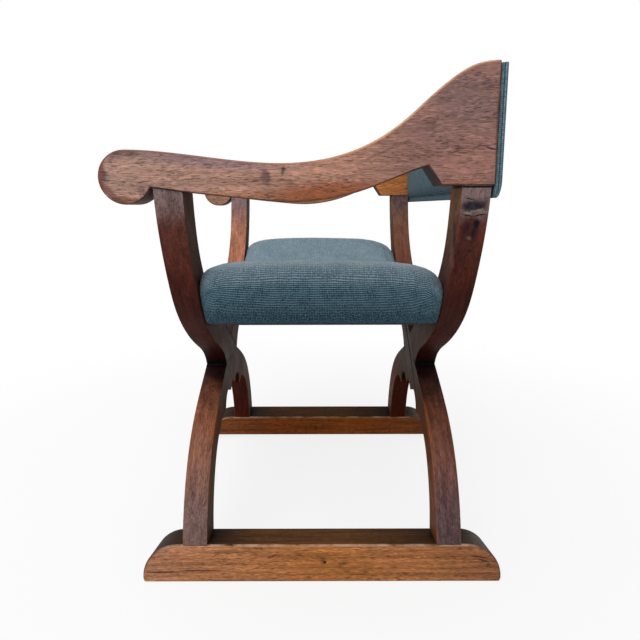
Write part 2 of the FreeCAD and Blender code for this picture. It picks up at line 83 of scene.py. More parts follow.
def linear(code: str) -> tuple[float, float, float, float]:
    """Turns an sRGB hex colour to linear.

    Args:
        code: the colour as "#rrggbb".

    Returns:
        The linear red, green and blue, and an alpha of 1.
    """
    channels = [int(code[i:i + 2], 16) / 255 for i in (1, 3, 5)]
    red, green, blue = [c / 12.92 if c <= 0.04045 else ((c + 0.055) / 1.055) ** 2.4 for c in channels]
    return red, green, blue, 1.0


def add(tree: Tree, kind: str, links: dict[Any, Any] | None = None, **settings: Any) -> bpy.types.Node:
    """Adds a shader node.

    Args:
        tree: the node tree.
        kind: the node's type without its ShaderNode prefix.
        links: a socket or a node's first output to link, or a value to set, for each input.
        settings: the node's own properties, with a colour ramp's stops as "stops".

    Returns:
        The new node.
    """
    node = tree.nodes.new("ShaderNode" + kind)
    for name, value in settings.items():
        if name != "stops":
            setattr(node, name, value)
            continue
        elements = node.color_ramp.elements
        for place, _ in value[2:]:
            elements.new(place)
        for element, (place, code) in zip(elements, value):
            element.position = place
            element.color = linear(code)
    for name, value in (links or {}).items():
        if isinstance(value, bpy.types.Node):
            value = value.outputs[0]
        if isinstance(value, Socket):
            tree.links.new(value, node.inputs[name])
        else:
            node.inputs[name].default_value = value
    return node


def new_material(name: str) -> tuple[bpy.types.Material, Tree]:
    """Makes an empty node material and returns it with its tree."""
    material = bpy.data.materials.new(name)
    material.use_nodes = True
    material.node_tree.nodes.clear()
    return material, material.node_tree


@dataclass(frozen=True)
class Tone:
    """A wood's colour along one axis, over the whole piece or only on its faces that look one way; facing
    tones also serve to paint light and shade by the way a face looks.
    """

    stops: Stops  # metres along the axis, and the colour there
    axis: str = "Y"
    facing: Point | None = None
    reach: tuple[float, float] = (0.35, 0.8)  # cosines at which the facing tone starts and is full
    strength: float = 1.0


@dataclass(frozen=True)
class Stain:
    """A patch of dirt, bleaching or old repair, and also of painted shadow and painted sheen: an ellipsoid
    with a ragged edge.
    """

    centre: Point
    size: Point
    colour: str
    strength: float = 0.8
    core: float = 0.35  # share of the size that has the full strength
    turn: Point = (0.0, 0.0, 0.0)
    dapple: float = 0.0  # how much the patch breaks up into spots
    ragged: float = 9 * MM  # how far its edge strays


@dataclass(frozen=True)
class Walnut:
    """Old walnut, planed and waxed by hand, then worn: dark pores in a wavy grain, and rubbed patches."""

    name: str
    tones: tuple[Tone, ...]
    worn: Stops = ((-0.3, "#b48a72"), (0.3, "#b48a72"))  # metres along Y, and the worn edges' colour
    wear: float = 0.6
    worn_axis: str = "Y"
    worn_from: float = 0.1  # least upward slope of a rubbed edge
    pore_colour: str = "#2c1a15"
    pore_strength: float = 0.5
    figure_strength: float = 0.35
    grain_turn: Point = (0.0, 0.0, 0.0)  # degrees that lay the piece's grain along the pattern's X
    cut: Point = (0.0, 0.0, 0.0)  # where in the log the piece was cut
    figure_width: float = 7 * MM  # growth layers
    pore_width: float = 3.0 * MM  # real pores are 0.2 mm wide, too fine to show at this size
    pore_length: float = 16 * MM
    gleam: float = 0.5  # how much lighter the light streaks are
    layer_stretch: float = 24.0  # length of a growth layer's figure over its width
    streaks_from: float = 31.0  # where the light streaks' pattern is taken from
    waviness: float = 6 * MM
    drift: float = 25 * MM  # how far a tone wanders along its axis
    bends: float = 11.0  # of the grain in a metre, one in about 90 mm
    wanderings: float = 26.0  # of a tone's border in a metre, one in about 40 mm
    raggedness: float = 95.0  # of a stain's border in a metre, one in about 10 mm
    patches: float = 38.0  # of wear on an edge in a metre, one in about 26 mm
    roughness: float = 0.52
    gloss: float = 0.2  # less than a clean varnish has, because of dust in the wax
    stains: tuple[Stain, ...] = ()

    def material(self) -> bpy.types.Material:
        """Builds the material.

        Returns:
            A waxed wood whose pores and growth layers run along the piece's grain.
        """
        material, tree = new_material(self.name)
        place = add(tree, "TexCoord")
        spot = place.outputs["Object"]
        slow = add(tree, "TexNoise", {"Vector": spot, "Scale": self.bends, "Detail": 4.0})
        sway = add(tree, "VectorMath", {
            0: slow.outputs["Color"], 1: (2 * self.waviness,) * 3, 2: spot}, operation="MULTIPLY_ADD")
        log = add(tree, "Mapping", {
            "Vector": sway, "Location": self.cut, "Rotation": [math.radians(a) for a in self.grain_turn]})
        colour = self._toned(tree, place)
        layers = add(tree, "Mapping", {
            "Vector": log, "Scale": self._scale(self.figure_width, self.layer_stretch)})
        figure = add(tree, "TexNoise", {"Vector": layers, "Scale": 1.0, "Detail": 3.0, "Distortion": 0.4})
        shade = add(tree, "MapRange", {
            "Value": figure.outputs["Fac"], "From Min": 0.32, "From Max": 0.68,
            "To Min": 1 - self.figure_strength, "To Max": 1 + self.figure_strength * 0.5})
        colour = add(tree, "VectorMath", {0: colour, "Scale": shade}, operation="SCALE").outputs[0]
        colour = self._stained(tree, spot, colour)
        streaks = self._dashes(tree, log.outputs[0], 1.5 * self.pore_width, self.gleam, self.streaks_from)
        lift = add(tree, "Math", {0: streaks, 1: 1.0}, operation="ADD")
        colour = add(tree, "VectorMath", {0: colour, "Scale": lift}, operation="SCALE").outputs[0]
        pores = self._dashes(tree, log.outputs[0], self.pore_width, self.pore_strength, 0.0)
        colour = add(tree, "Mix", {
            0: pores, 6: colour, 7: linear(self.pore_colour)}, data_type="RGBA").outputs[2]
        rubbed = self._rubbed(tree, place)
        worn = self._ramp(tree, add(tree, "SeparateXYZ", {0: spot}).outputs[self.worn_axis], self.worn)
        colour = add(tree, "Mix", {0: rubbed, 6: colour, 7: worn}, data_type="RGBA").outputs[2]
        polish = add(tree, "MapRange", {"Value": slow.outputs["Fac"], "From Min": 0.3, "From Max": 0.7,
                                        "To Min": self.roughness - 0.07, "To Max": self.roughness + 0.09})
        depth = add(tree, "Math", {0: pores, 1: -1.0, 2: figure.outputs["Fac"]}, operation="MULTIPLY_ADD")
        bump = add(tree, "Bump", {"Height": depth, "Strength": 0.35, "Distance": 0.5 * MM})
        shader = add(tree, "BsdfPrincipled", {
            "Base Color": colour, "Roughness": polish, "Normal": bump, "IOR": 1.5,
            "Specular IOR Level": self.gloss})
        add(tree, "OutputMaterial", {"Surface": shader})
        return material

    @staticmethod
    def _scale(across: float, stretch: float) -> Point:
        """Pattern scale for features of one width, stretched along the grain."""
        return 1 / (across * stretch), 1 / across, 1 / across

    def _toned(self, tree: Tree, place: bpy.types.Node) -> Socket:
        """Lays the tones over each other.

        Args:
            tree: the material's tree.
            place: its Texture Coordinate node.

        Returns:
            The colour before figure, pores and stains.
        """
        drift = add(tree, "TexNoise", {
            "Vector": place.outputs["Object"], "Scale": self.wanderings, "Detail": 3.0})
        axes = add(tree, "SeparateXYZ", {0: place.outputs["Object"]})
        colour = None
        for tone in self.tones:
            spread = add(tree, "MapRange", {
                "Value": drift.outputs["Fac"], "To Min": -self.drift, "To Max": self.drift})
            wobble = add(tree, "Math", {0: spread, 1: axes.outputs[tone.axis]}, operation="ADD")
            ramp = self._ramp(tree, wobble.outputs[0], tone.stops)
            if tone.facing is None:
                colour = ramp
                continue
            # a facing tone covers only faces that look its way: this carries the painted light and shade of
            # the legs and the arms' undersides
            look = add(tree, "VectorMath", {
                0: place.outputs["Normal"], 1: Vector(tone.facing).normalized()}, operation="DOT_PRODUCT")
            mask = add(tree, "MapRange", {
                "Value": look.outputs["Value"], "From Min": tone.reach[0], "From Max": tone.reach[1],
                "To Max": tone.strength}, interpolation_type="SMOOTHSTEP")
            colour = add(tree, "Mix", {0: mask, 6: colour, 7: ramp}, data_type="RGBA").outputs[2]
        return colour

    def _dashes(self, tree: Tree, log: Socket, width: float, strength: float, away: float) -> Socket:
        """Dashes along the grain, in drifts.

        Args:
            tree: the material's tree.
            log: coordinates with the grain along X.
            width: distance between dashes across the grain.
            strength: the most that a dash shows.
            away: where the pattern is taken from, so that two patterns differ.

        Returns:
            How much dash shows, from 0 to the strength.
        """
        lines = add(tree, "Mapping", {"Vector": log, "Location": (away, away, away),
                                      "Scale": self._scale(width, self.pore_length / self.pore_width)})
        dashes = add(tree, "TexNoise", {"Vector": lines, "Scale": 1.0, "Detail": 2.0})
        drifts = add(tree, "TexNoise", {"Vector": lines, "Scale": 0.12, "Detail": 1.0})
        sharp = add(tree, "MapRange", {
            "Value": dashes.outputs["Fac"], "From Min": 0.5, "From Max": 0.64, "To Max": strength})
        heavy = add(tree, "MapRange", {
            "Value": drifts.outputs["Fac"], "From Min": 0.35, "From Max": 0.6, "To Min": 0.5})
        return add(tree, "Math", {0: sharp, 1: heavy}, operation="MULTIPLY").outputs[0]

    @staticmethod
    def _ramp(tree: Tree, along: Socket, stops: Stops) -> Socket:
        """A colour that changes along an axis.

        Args:
            tree: the material's tree.
            along: metres along the axis.
            stops: metres along the axis, and the colour there.

        Returns:
            The colour.
        """
        low, high = stops[0][0], stops[-1][0]
        share = add(tree, "MapRange", {"Value": along, "From Min": low, "From Max": high})
        places = tuple(((at - low) / (high - low), code) for at, code in stops)
        return add(tree, "ValToRGB", {0: share}, stops=places).outputs[0]

    def _stained(self, tree: Tree, spot: Socket, colour: Socket) -> Socket:
        """Lays the stains over the wood.

        Args:
            tree: the material's tree.
            spot: object coordinates.
            colour: the wood's colour under the stains.

        Returns:
            The colour with the stains.
        """
        if not self.stains:
            return colour
        ragged = add(tree, "TexNoise", {"Vector": spot, "Scale": self.raggedness, "Detail": 3.0})
        for stain in self.stains:
            edge = add(tree, "VectorMath", {
                0: ragged.outputs["Color"], 1: (stain.ragged,) * 3, 2: spot}, operation="MULTIPLY_ADD")
            centre = Vector(stain.centre) + Vector((stain.ragged / 2,) * 3)
            inside = add(tree, "Mapping", {
                "Vector": edge, "Location": centre, "Rotation": [math.radians(a) for a in stain.turn],
                "Scale": stain.size}, vector_type="TEXTURE")
            reach = add(tree, "VectorMath", {0: inside}, operation="LENGTH")
            cover = add(tree, "MapRange", {
                "Value": reach.outputs["Value"], "From Min": stain.core, "From Max": 1.0,
                "To Min": stain.strength, "To Max": 0.0}, interpolation_type="SMOOTHSTEP").outputs[0]
            if stain.dapple:
                spots = add(tree, "MapRange", {"Value": ragged.outputs["Fac"], "From Min": 0.42,
                                               "From Max": 0.6, "To Min": 1 - stain.dapple})
                cover = add(tree, "Math", {0: cover, 1: spots}, operation="MULTIPLY").outputs[0]
            colour = add(tree, "Mix", {0: cover, 6: colour, 7: linear(stain.colour)},
                         data_type="RGBA").outputs[2]
        return colour

    def _rubbed(self, tree: Tree, place: bpy.types.Node) -> Socket:
        """How much the piece's rounded edges are rubbed pale.

        Args:
            tree: the material's tree.
            place: its Texture Coordinate node.

        Returns:
            The share of worn colour, from 0 to the wear.
        """
        arris = add(tree, "Attribute", attribute_name="arris")
        patchy = add(tree, "TexNoise", {
            "Vector": place.outputs["Object"], "Scale": self.patches, "Detail": 3.0})
        amount = add(tree, "MapRange", {
            "Value": patchy.outputs["Fac"], "From Min": 0.3, "From Max": 0.62, "To Max": self.wear})
        up = add(tree, "SeparateXYZ", {0: place.outputs["Normal"]})
        upward = add(tree, "MapRange", {
            "Value": up.outputs["Z"], "From Min": self.worn_from - 0.2, "From Max": self.worn_from})
        share = add(tree, "Math", {0: arris.outputs["Fac"], 1: amount}, operation="MULTIPLY")
        return add(tree, "Math", {0: share, 1: upward}, operation="MULTIPLY").outputs[0]


@dataclass(frozen=True)
class RibbedCloth:
    """Woven rep in wool and cotton: soft ribs of thick weft, and finer warp as light and dark specks."""

    name: str
    ground: str
    raised: str
    hollow: str
    faded: str
    fade_and_sheen_stops: Profile  # metres across the ribs, and the share of faded colour there, from wear and, on the seat, painted sheen
    rib_stops: Profile  # metres across the ribs, and how clearly the ribs show there
    painted_shade_stops: Profile = ((-1.0, 1.0), (1.0, 1.0))  # and how light the cloth is there: painted shade where below 1
    rib_spacing: float = 3.5 * MM
    thread_spacing: float = 2.6 * MM  # real warp threads are 0.8 mm apart, too fine to show at this size
    speck: tuple[float, float] = (2.4 * MM, 3.4 * MM)  # real slubs are under 1 mm, too fine to show
    pull: float = 2.2 * MM  # how far the threads stray
    pulls: float = 60.0  # strayings in a metre, one in about 17 mm
    clouds: float = 14.0  # faded clouds in a metre, one in about 70 mm
    warp_share: float = 0.19  # of the relief that the warp makes
    speck_share: float = 0.46  # of the relief that the slubs make

    def material(self) -> bpy.types.Material:
        """Builds the material.

        Returns:
            A matt cloth whose ribs follow the piece's "weave" map.
        """
        material, tree = new_material(self.name)
        weave = add(tree, "UVMap", uv_map="weave").outputs[0]
        axes = add(tree, "SeparateXYZ", {0: weave})
        loose = add(tree, "TexNoise", {"Vector": weave, "Scale": self.pulls, "Detail": 3.0})
        pulled = add(tree, "VectorMath", {
            0: loose.outputs["Color"], 1: (self.pull,) * 3, 2: weave}, operation="MULTIPLY_ADD")
        ribs = add(tree, "TexWave", {
            "Vector": pulled, "Scale": self._wave(self.rib_spacing)}, bands_direction="X")
        threads = add(tree, "TexWave", {
            "Vector": pulled, "Scale": self._wave(self.thread_spacing), "Distortion": 1.5},
            bands_direction="Y")
        fibres = add(tree, "Mapping", {
            "Vector": weave, "Scale": (1 / self.speck[0], 1 / self.speck[1], 1.0)})
        specks = add(tree, "TexNoise", {"Vector": fibres, "Scale": 1.0, "Detail": 2.0})
        clear = self._profile(tree, axes.outputs["X"], self.rib_stops)
        patchy = add(tree, "MapRange", {
            "Value": loose.outputs["Fac"], "From Min": 0.35, "From Max": 0.6, "To Min": 0.45})
        clear = add(tree, "Math", {0: clear, 1: patchy}, operation="MULTIPLY").outputs[0]
        flat = add(tree, "Mix", {0: clear, 2: 0.5, 3: ribs.outputs["Fac"]}).outputs[0]
        crossed = add(tree, "Mix", {0: self.warp_share, 2: flat, 3: threads.outputs["Fac"]}).outputs[0]
        height = add(tree, "Mix", {0: self.speck_share, 2: crossed, 3: specks.outputs["Fac"]}).outputs[0]
        tint = add(tree, "ValToRGB", {0: height}, stops=((0.36, self.hollow), (0.5, self.ground),
                                                         (0.64, self.raised)))
        # share of faded colour: worn fading, and on the seat's crest and top also painted sheen
        fade = self._profile(tree, axes.outputs["X"], self.fade_and_sheen_stops)
        broad = add(tree, "TexNoise", {"Vector": weave, "Scale": self.clouds, "Detail": 3.0})
        uneven = add(tree, "MapRange", {
            "Value": broad.outputs["Fac"], "From Min": 0.3, "From Max": 0.7, "To Min": 0.72})
        share = add(tree, "Math", {0: fade, 1: uneven}, operation="MULTIPLY").outputs[0]
        relief = add(tree, "MapRange", {
            "Value": height, "From Min": 0.36, "From Max": 0.64, "To Min": 0.7, "To Max": 1.3})
        bleached = add(tree, "VectorMath", {0: linear(self.faded)[:3], "Scale": relief}, operation="SCALE")
        colour = add(tree, "Mix", {0: share, 6: tint, 7: bleached}, data_type="RGBA").outputs[2]
        cloudy = add(tree, "MapRange", {
            "Value": loose.outputs["Fac"], "From Min": 0.3, "From Max": 0.7, "To Min": 0.9, "To Max": 1.1})
        # painted shade across the ribs, times random cloudiness
        shade = add(tree, "Math", {
            0: self._profile(tree, axes.outputs["X"], self.painted_shade_stops), 1: cloudy}, operation="MULTIPLY")
        colour = add(tree, "VectorMath", {0: colour, "Scale": shade}, operation="SCALE").outputs[0]
        bump = add(tree, "Bump", {"Height": height, "Strength": 0.5, "Distance": 0.7 * MM})
        shader = add(tree, "BsdfPrincipled", {
            "Base Color": colour, "Roughness": 0.92, "Normal": bump, "IOR": 1.45, "Specular IOR Level": 0.15,
            "Sheen Weight": 0.06, "Sheen Roughness": 0.5, "Sheen Tint": linear("#b8c8d0")})
        add(tree, "OutputMaterial", {"Surface": shader})
        return material

    @staticmethod
    def _wave(spacing: float) -> float:
        """The Wave Texture scale whose bands have this spacing."""
        return 2 * math.pi / (20 * spacing)

    @staticmethod
    def _profile(tree: Tree, across: Socket, stops: Profile) -> Socket:
        """A value that changes across the ribs.

        Args:
            tree: the material's tree.
            across: metres across the ribs.
            stops: places and values.

        Returns:
            The value between the nearest two stops.
        """
        low, high = stops[0][0], stops[-1][0]
        along = add(tree, "MapRange", {"Value": across, "From Min": low, "From Max": high})
        greys = tuple(((at - low) / (high - low), "#" + f"{round(value * 255):02x}" * 3)
                      for at, value in stops)
        ramp = add(tree, "ValToRGB", {0: along}, stops=greys)
        return add(tree, "Gamma", {"Color": ramp, "Gamma": 1 / 2.2}).outputs[0]


@dataclass(frozen=True)
class PlainFinish:
    """A surface that is hardly seen: raw softwood, oak, cambric or dull steel, with a fine uneven grain."""

    name: str
    light: str
    dark: str
    grain: Point  # size of the unevenness along each axis
    roughness: float
    metallic: float = 0.0

    def material(self) -> bpy.types.Material:
        """Builds the material.

        Returns:
            Two tones of one colour in streaks of the given grain.
        """
        material, tree = new_material(self.name)
        place = add(tree, "TexCoord")
        streaks = add(tree, "Mapping", {
            "Vector": place.outputs["Object"], "Scale": [1 / g for g in self.grain]})
        uneven = add(tree, "TexNoise", {"Vector": streaks, "Scale": 1.0, "Detail": 3.0})
        tint = add(tree, "ValToRGB", {0: uneven.outputs["Fac"]},
                   stops=((0.35, self.dark), (0.65, self.light)))
        bump = add(tree, "Bump", {"Height": uneven.outputs["Fac"], "Strength": 0.3, "Distance": 0.3 * MM})
        shader = add(tree, "BsdfPrincipled", {
            "Base Color": tint, "Roughness": self.roughness, "Metallic": self.metallic, "Normal": bump})
        add(tree, "OutputMaterial", {"Surface": shader})
        return material


def place_piece(bm: bmesh.types.BMesh, name: str, material: bpy.types.Material) -> Piece:
    """Turns a bmesh into a smooth piece that rides on the chair.

    Args:
        bm: the mesh, in place in the row frame; it is freed.
        name: the piece's name.
        material: its finish.

    Returns:
        The new object.
    """
    mesh = bpy.data.meshes.new(name)
    for face in bm.faces:
        face.smooth = True
    bm.to_mesh(mesh)
    bm.free()
    piece = bpy.data.objects.new(name, mesh)
    piece.data.materials.append(material)
    bpy.context.scene.collection.objects.link(piece)
    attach(piece, "root")
    return piece


def report(piece: Piece) -> None:
    """Logs a finished piece and its size."""
    size = ", ".join(f"{d * 1000:.0f}" for d in piece.dimensions)
    LOG.info("%s: %s mm, %d faces", piece.name, size, len(piece.data.polygons))


def dress(node: str, material: bpy.types.Material) -> None:
    """Gives a CAD node that stays in view its finish."""
    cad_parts[node].material_slots[0].material = material
    LOG.info("%s: dressed in %s", node, material.name)


@dataclass
class WoodenPiece:
    """A wooden CAD piece with its long sharp edges eased by hand."""

    node: str
    slot: str
    finish: Walnut
    easing: float
    eased: Callable[[Vector, Vector], bool]  # whether the edge between two points is eased
    segments: int = 3
    flat_angle: float = math.radians(0.4)  # triangles that meet at less are one face
    sharp_angle: float = math.radians(40)  # edges that are sharper may be eased
    shading_angle: float = math.radians(42)  # edges that are sharper stay crisp

    def build(self) -> Piece:
        """Builds the eased piece over its CAD node.

        Returns:
            The piece, which stands for the node.
        """
        bm = bmesh.new()
        bm.from_mesh(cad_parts[self.node].data)
        bmesh.ops.remove_doubles(bm, verts=bm.verts, dist=WELD)
        bmesh.ops.dissolve_limit(bm, angle_limit=self.flat_angle, verts=bm.verts, edges=bm.edges)
        arris = bm.faces.layers.float.new("arris")
        chosen = [e for e in bm.edges if len(e.link_faces) == 2 and e.calc_face_angle(0) > self.sharp_angle
                  and self.eased(e.verts[0].co, e.verts[1].co)]
        made = bmesh.ops.bevel(bm, geom=chosen, offset=self.easing, offset_type="OFFSET",
                               segments=self.segments, profile=0.5, affect="EDGES", material=-1,
                               clamp_overlap=False)
        for face in made["faces"]:
            face[arris] = 1.0
        for edge in bm.edges:
            edge.smooth = edge.calc_face_angle(0) < self.shading_angle
        piece = place_piece(bm, f"{self.node}_eased", self.finish.material())
        flat = piece.modifiers.new("flat_faces", "WEIGHTED_NORMAL")
        flat.keep_sharp = True
        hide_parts(self.node)
        report(piece)
        return piece


def bow(start: complex, through: complex, end: complex, count: int) -> list[complex]:
    """Points along a circle's arc.

    Args:
        start: its first point, as width + height j.
        through: a point on the way.
        end: its last point.
        count: number of steps.

    Returns:
        The points, from the first to the one before the last.
    """
    ratio = (end - start) / (through - start)
    centre = start - (start - through) * (ratio - abs(ratio) ** 2) / (2j * ratio.imag)
    sweep = cmath.phase((end - centre) / (start - centre))
    return [centre + (start - centre) * cmath.exp(1j * sweep * i / count) for i in range(count)]


def swollen(piece: Piece, nailed: list[int], cap: float, pressure: float, frames: int = 20) -> None:
    """Lets stuffing press the cloth out, and takes the result into the mesh.

    Args:
        piece: a closed form, slightly smaller than the finished one.
        nailed: numbers of the vertices that stay in place.
        cap: the furthest that a point may move.
        pressure: the stuffing's pressure.
        frames: frames of cloth simulation.
    """
    group = piece.vertex_groups.new(name="nailed")
    group.add(nailed, 1.0, "REPLACE")
    cloth = piece.modifiers.new("stuffing", "CLOTH")
    cloth.settings.use_pressure = True
    cloth.settings.uniform_pressure_force = pressure
    cloth.settings.effector_weights.gravity = 0
    cloth.settings.vertex_group_mass = "nailed"
    cloth.settings.tension_stiffness = 25
    cloth.settings.compression_stiffness = 25
    cloth.point_cache.frame_start = 1
    cloth.point_cache.frame_end = frames
    scene = bpy.context.scene
    for frame in range(1, frames + 1):
        scene.frame_set(frame)
    evaluated = piece.evaluated_get(bpy.context.evaluated_depsgraph_get())
    before = points_of(piece.data)
    outward = np.array([vertex.normal for vertex in piece.data.vertices])
    press = np.clip(((points_of(evaluated.data) - before) * outward).sum(axis=1), 0, cap)
    set_points(piece.data, before + outward * press[:, None])
    piece.modifiers.remove(cloth)
    piece.vertex_groups.remove(group)
    scene.frame_set(1)


def points_of(mesh: bpy.types.Mesh) -> np.ndarray:
    """The mesh's vertex coordinates, one row each."""
    flat = np.empty(len(mesh.vertices) * 3, np.float32)
    mesh.vertices.foreach_get("co", flat)
    return flat.reshape(-1, 3).astype(float)


def set_points(mesh: bpy.types.Mesh, points: np.ndarray) -> None:
    """Moves the mesh's vertices to the given rows."""
    mesh.vertices.foreach_set("co", points.astype(np.float32).ravel())
    mesh.update()


def remeshed(piece: Piece, voxel: float) -> None:
    """Rebuilds the piece's closed form in even quads of a voxel's size."""
    modifier = piece.modifiers.new("even", "REMESH")
    modifier.mode = "VOXEL"
    modifier.voxel_size = voxel
    modifier.use_smooth_shade = True
    evaluated = piece.evaluated_get(bpy.context.evaluated_depsgraph_get())
    mesh = bpy.data.meshes.new_from_object(evaluated)
    piece.modifiers.remove(modifier)
    piece.data = mesh


def set_weave(mesh: bpy.types.Mesh, weave: Callable[[np.ndarray, np.ndarray], np.ndarray]) -> None:
    """Gives the mesh its weave map.

    Args:
        mesh: the cloth's mesh.
        weave: takes the points and face normals of all face corners, and returns metres across and along
            the ribs.
    """
    corners = np.empty(len(mesh.loops), np.int32)
    mesh.loops.foreach_get("vertex_index", corners)
    normals = np.empty(len(mesh.polygons) * 3, np.float32)
    mesh.polygons.foreach_get("normal", normals)
    totals = np.empty(len(mesh.polygons), np.int32)
    mesh.polygons.foreach_get("loop_total", totals)
    uv = weave(points_of(mesh)[corners], np.repeat(normals.reshape(-1, 3), totals, axis=0))
    layer = mesh.uv_layers.get("weave") or mesh.uv_layers.new(name="weave")
    layer.data.foreach_set("uv", uv.astype(np.float32).ravel())


def smooth_surface(piece: Piece) -> None:
    """Adds one level of subdivision, the same in the view and in the render."""
    modifier = piece.modifiers.new("smooth", "SUBSURF")
    modifier.levels = modifier.render_levels = 1


@dataclass
class Seat:
    """The dished seat: stuffing under ribbed cloth that runs over its ends, and black cambric below."""

    centre_y: float = 1.55 * MM
    half_depth: float = 189 * MM
    underside: float = 392 * MM
    end_rise: float = 39 * MM
    end_half_width: float = 240 * MM
    end_height: float = 106 * MM
    end_lean: float = 56 * MM
    crest_radius: float = 17 * MM
    middle_thickness: float = 69 * MM
    crest_middle: complex = -0.3 + 0.72j  # of the crest's arc, in radii from its start
    crest_end: complex = -1.5 + 1j
    dip_share: float = 0.6  # of the ends' drop that the dip follows
    bottom_cloth: float = 1.5 * MM
    cloth_gap: float = 0.2 * MM  # between it and the seat's cloth
    cap_slope: float = 0.75  # least forward part of the normal on the front and the back
    excess: float = 0.6 * MM  # how much deeper the form starts, before it is pressed flat
    nailed_height: float = 2 * MM  # up to which the ends' lower edges stay in place
    swell: float = 2.5 * MM  # the most that the stuffing adds to the full form
    lip_width: float = 2.5 * MM
    slack: float = 2.0 * MM  # the form starts this much smaller, and the stuffing fills it
    side_gap: float = 0.4 * MM
    lip: float = 1.5 * MM  # how far the cloth hangs below the ends' lower edges
    bulge: float = 4 * MM  # of the two ends
    voxel: float = 5 * MM
    pressure: float = 4.0  # of the stuffing
    under_steps: int = 40
    side_steps: int = 24
    shoulder_steps: int = 12
    top_steps: int = 60
    depth_steps: int = 64
    cambric_half_width: float = 236.5 * MM
    cambric_half_length: float = 186.8 * MM
    nails: int = 8  # at each side rail
    cambric_gap: float = 0.3 * MM  # between the underside and the cambric
    pinch: float = 0.6 * MM  # how far each nail pulls the cambric's edge
    drops: Profile = (  # mm of depth from the middle, and how far the top lies lower there
        (-189, 30), (-187, 25), (-184, 19), (-178, 13), (-169, 8.5), (-158, 5), (-139, 1.5), (-110, -0.5),
        (-80, -2.2), (-20, -3), (50, -1.8), (105, 0), (137, 4), (161, 11), (175, 19), (183, 28), (189, 38))
    cloth: RibbedCloth = RibbedCloth(
        name="ribbed_wool_seat", ground="#1f4558", raised="#698f9f", hollow="#081e2c", faded="#8a969d",
        # fading from wear and painted sheen: full on the crest, about half on the top, little down the ends
        fade_and_sheen_stops=((-0.45, 0.0), (-0.345, 0.05), (-0.312, 0.55), (-0.295, 1.0), (-0.27, 0.56),
                    (0.27, 0.56), (0.295, 1.0), (0.312, 0.55), (0.345, 0.05), (0.45, 0.0)),
        rib_stops=((-0.45, 0.1), (-0.40, 0.3), (-0.38, 0.95), (-0.345, 1.0), (-0.325, 0.55), (-0.3, 0.3),
                   (0.3, 0.3), (0.325, 0.55), (0.345, 1.0), (0.38, 0.95), (0.40, 0.3), (0.45, 0.1)),
        # painted shade: darker down the lower parts of the ends
        painted_shade_stops=((-0.45, 0.68), (-0.395, 0.7), (-0.355, 0.9), (-0.33, 1.0),
                     (0.33, 1.0), (0.355, 0.9), (0.395, 0.7), (0.45, 0.68)))
    cambric: PlainFinish = PlainFinish("black_cambric", "#26262a", "#17171a", (0.8 * MM, 0.8 * MM, 4 * MM),
                                       0.95)

    @property
    def radius(self) -> float:
        """The radius of the underside's arc."""
        return (self.end_half_width ** 2 + self.end_rise ** 2) / (2 * self.end_rise)

    def outline(self, drop: float, inset: float) -> list[complex]:
        """The seat's cross-section.

        Args:
            drop: how far its top lies below the middle one's.
            inset: how far it lies inside the full form.

        Returns:
            Points round the section as width + height j, from the underside's middle over the right end.
        """
        slope = self.end_lean / (self.end_height - self.crest_radius)
        end_z = self.underside + self.end_rise - self.lip
        end = complex(self.end_half_width - inset + slope * inset, end_z)
        crest_z = self.underside + self.end_rise + self.end_height - drop - inset
        shoulder_z = crest_z - self.crest_radius
        shoulder = complex(end.real + slope * (shoulder_z - end_z), shoulder_z)
        bulge = (end + shoulder) / 2 + self.bulge
        round_middle = shoulder + self.crest_middle * self.crest_radius
        crest = shoulder + self.crest_end * self.crest_radius
        dip = complex(0, self.underside + self.middle_thickness - self.dip_share * drop - inset)
        bottom = complex(0, self.underside + self.bottom_cloth)
        mirror = -crest.conjugate()
        under = bow(-end.conjugate(), bottom, end, 2 * self.under_steps)[self.under_steps:]
        side = bow(end, bulge, shoulder, self.side_steps)
        shoulder_arc = bow(shoulder, round_middle, crest, self.shoulder_steps)
        top = bow(crest, dip, mirror, 2 * self.top_steps)[:self.top_steps]
        return under + side + shoulder_arc + top + [dip]

    def drop_at(self, y: np.ndarray) -> np.ndarray:
        """How far the top lies lower at each depth."""
        places, drops = zip(*self.drops)
        return np.interp(y, np.array(places) * MM, np.array(drops) * MM)

    def form(self, inset: float) -> bmesh.types.BMesh:
        """The closed seat form.

        Args:
            inset: how far it lies inside the full form.

        Returns:
            A bmesh whose rings are the cross-sections from front to back.
        """
        half = self.outline(0.0, inset)
        around = 2 * (len(half) - 1)
        bm = bmesh.new()
        bmesh.ops.create_grid(bm, x_segments=around, y_segments=self.depth_steps, size=1.0)
        reach = self.half_depth + self.excess
        sections: dict[float, list[complex]] = {}
        for vert in bm.verts:
            depth = reach * math.sin(vert.co.y * math.pi / 2)
            step = round((vert.co.x + 1) / 2 * around)
            key = round(depth, 6)
            if key not in sections:
                sections[key] = self.outline(float(self.drop_at(depth)), inset)
            section = sections[key]
            point = section[step] if step < len(section) else -section[around - step].conjugate()
            vert.co = (point.real, depth + self.centre_y, point.imag)
        bmesh.ops.remove_doubles(bm, verts=bm.verts, dist=0.1 * MM)
        bmesh.ops.holes_fill(bm, edges=[e for e in bm.edges if e.is_boundary], sides=0)
        bmesh.ops.recalc_face_normals(bm, faces=bm.faces)
        return bm

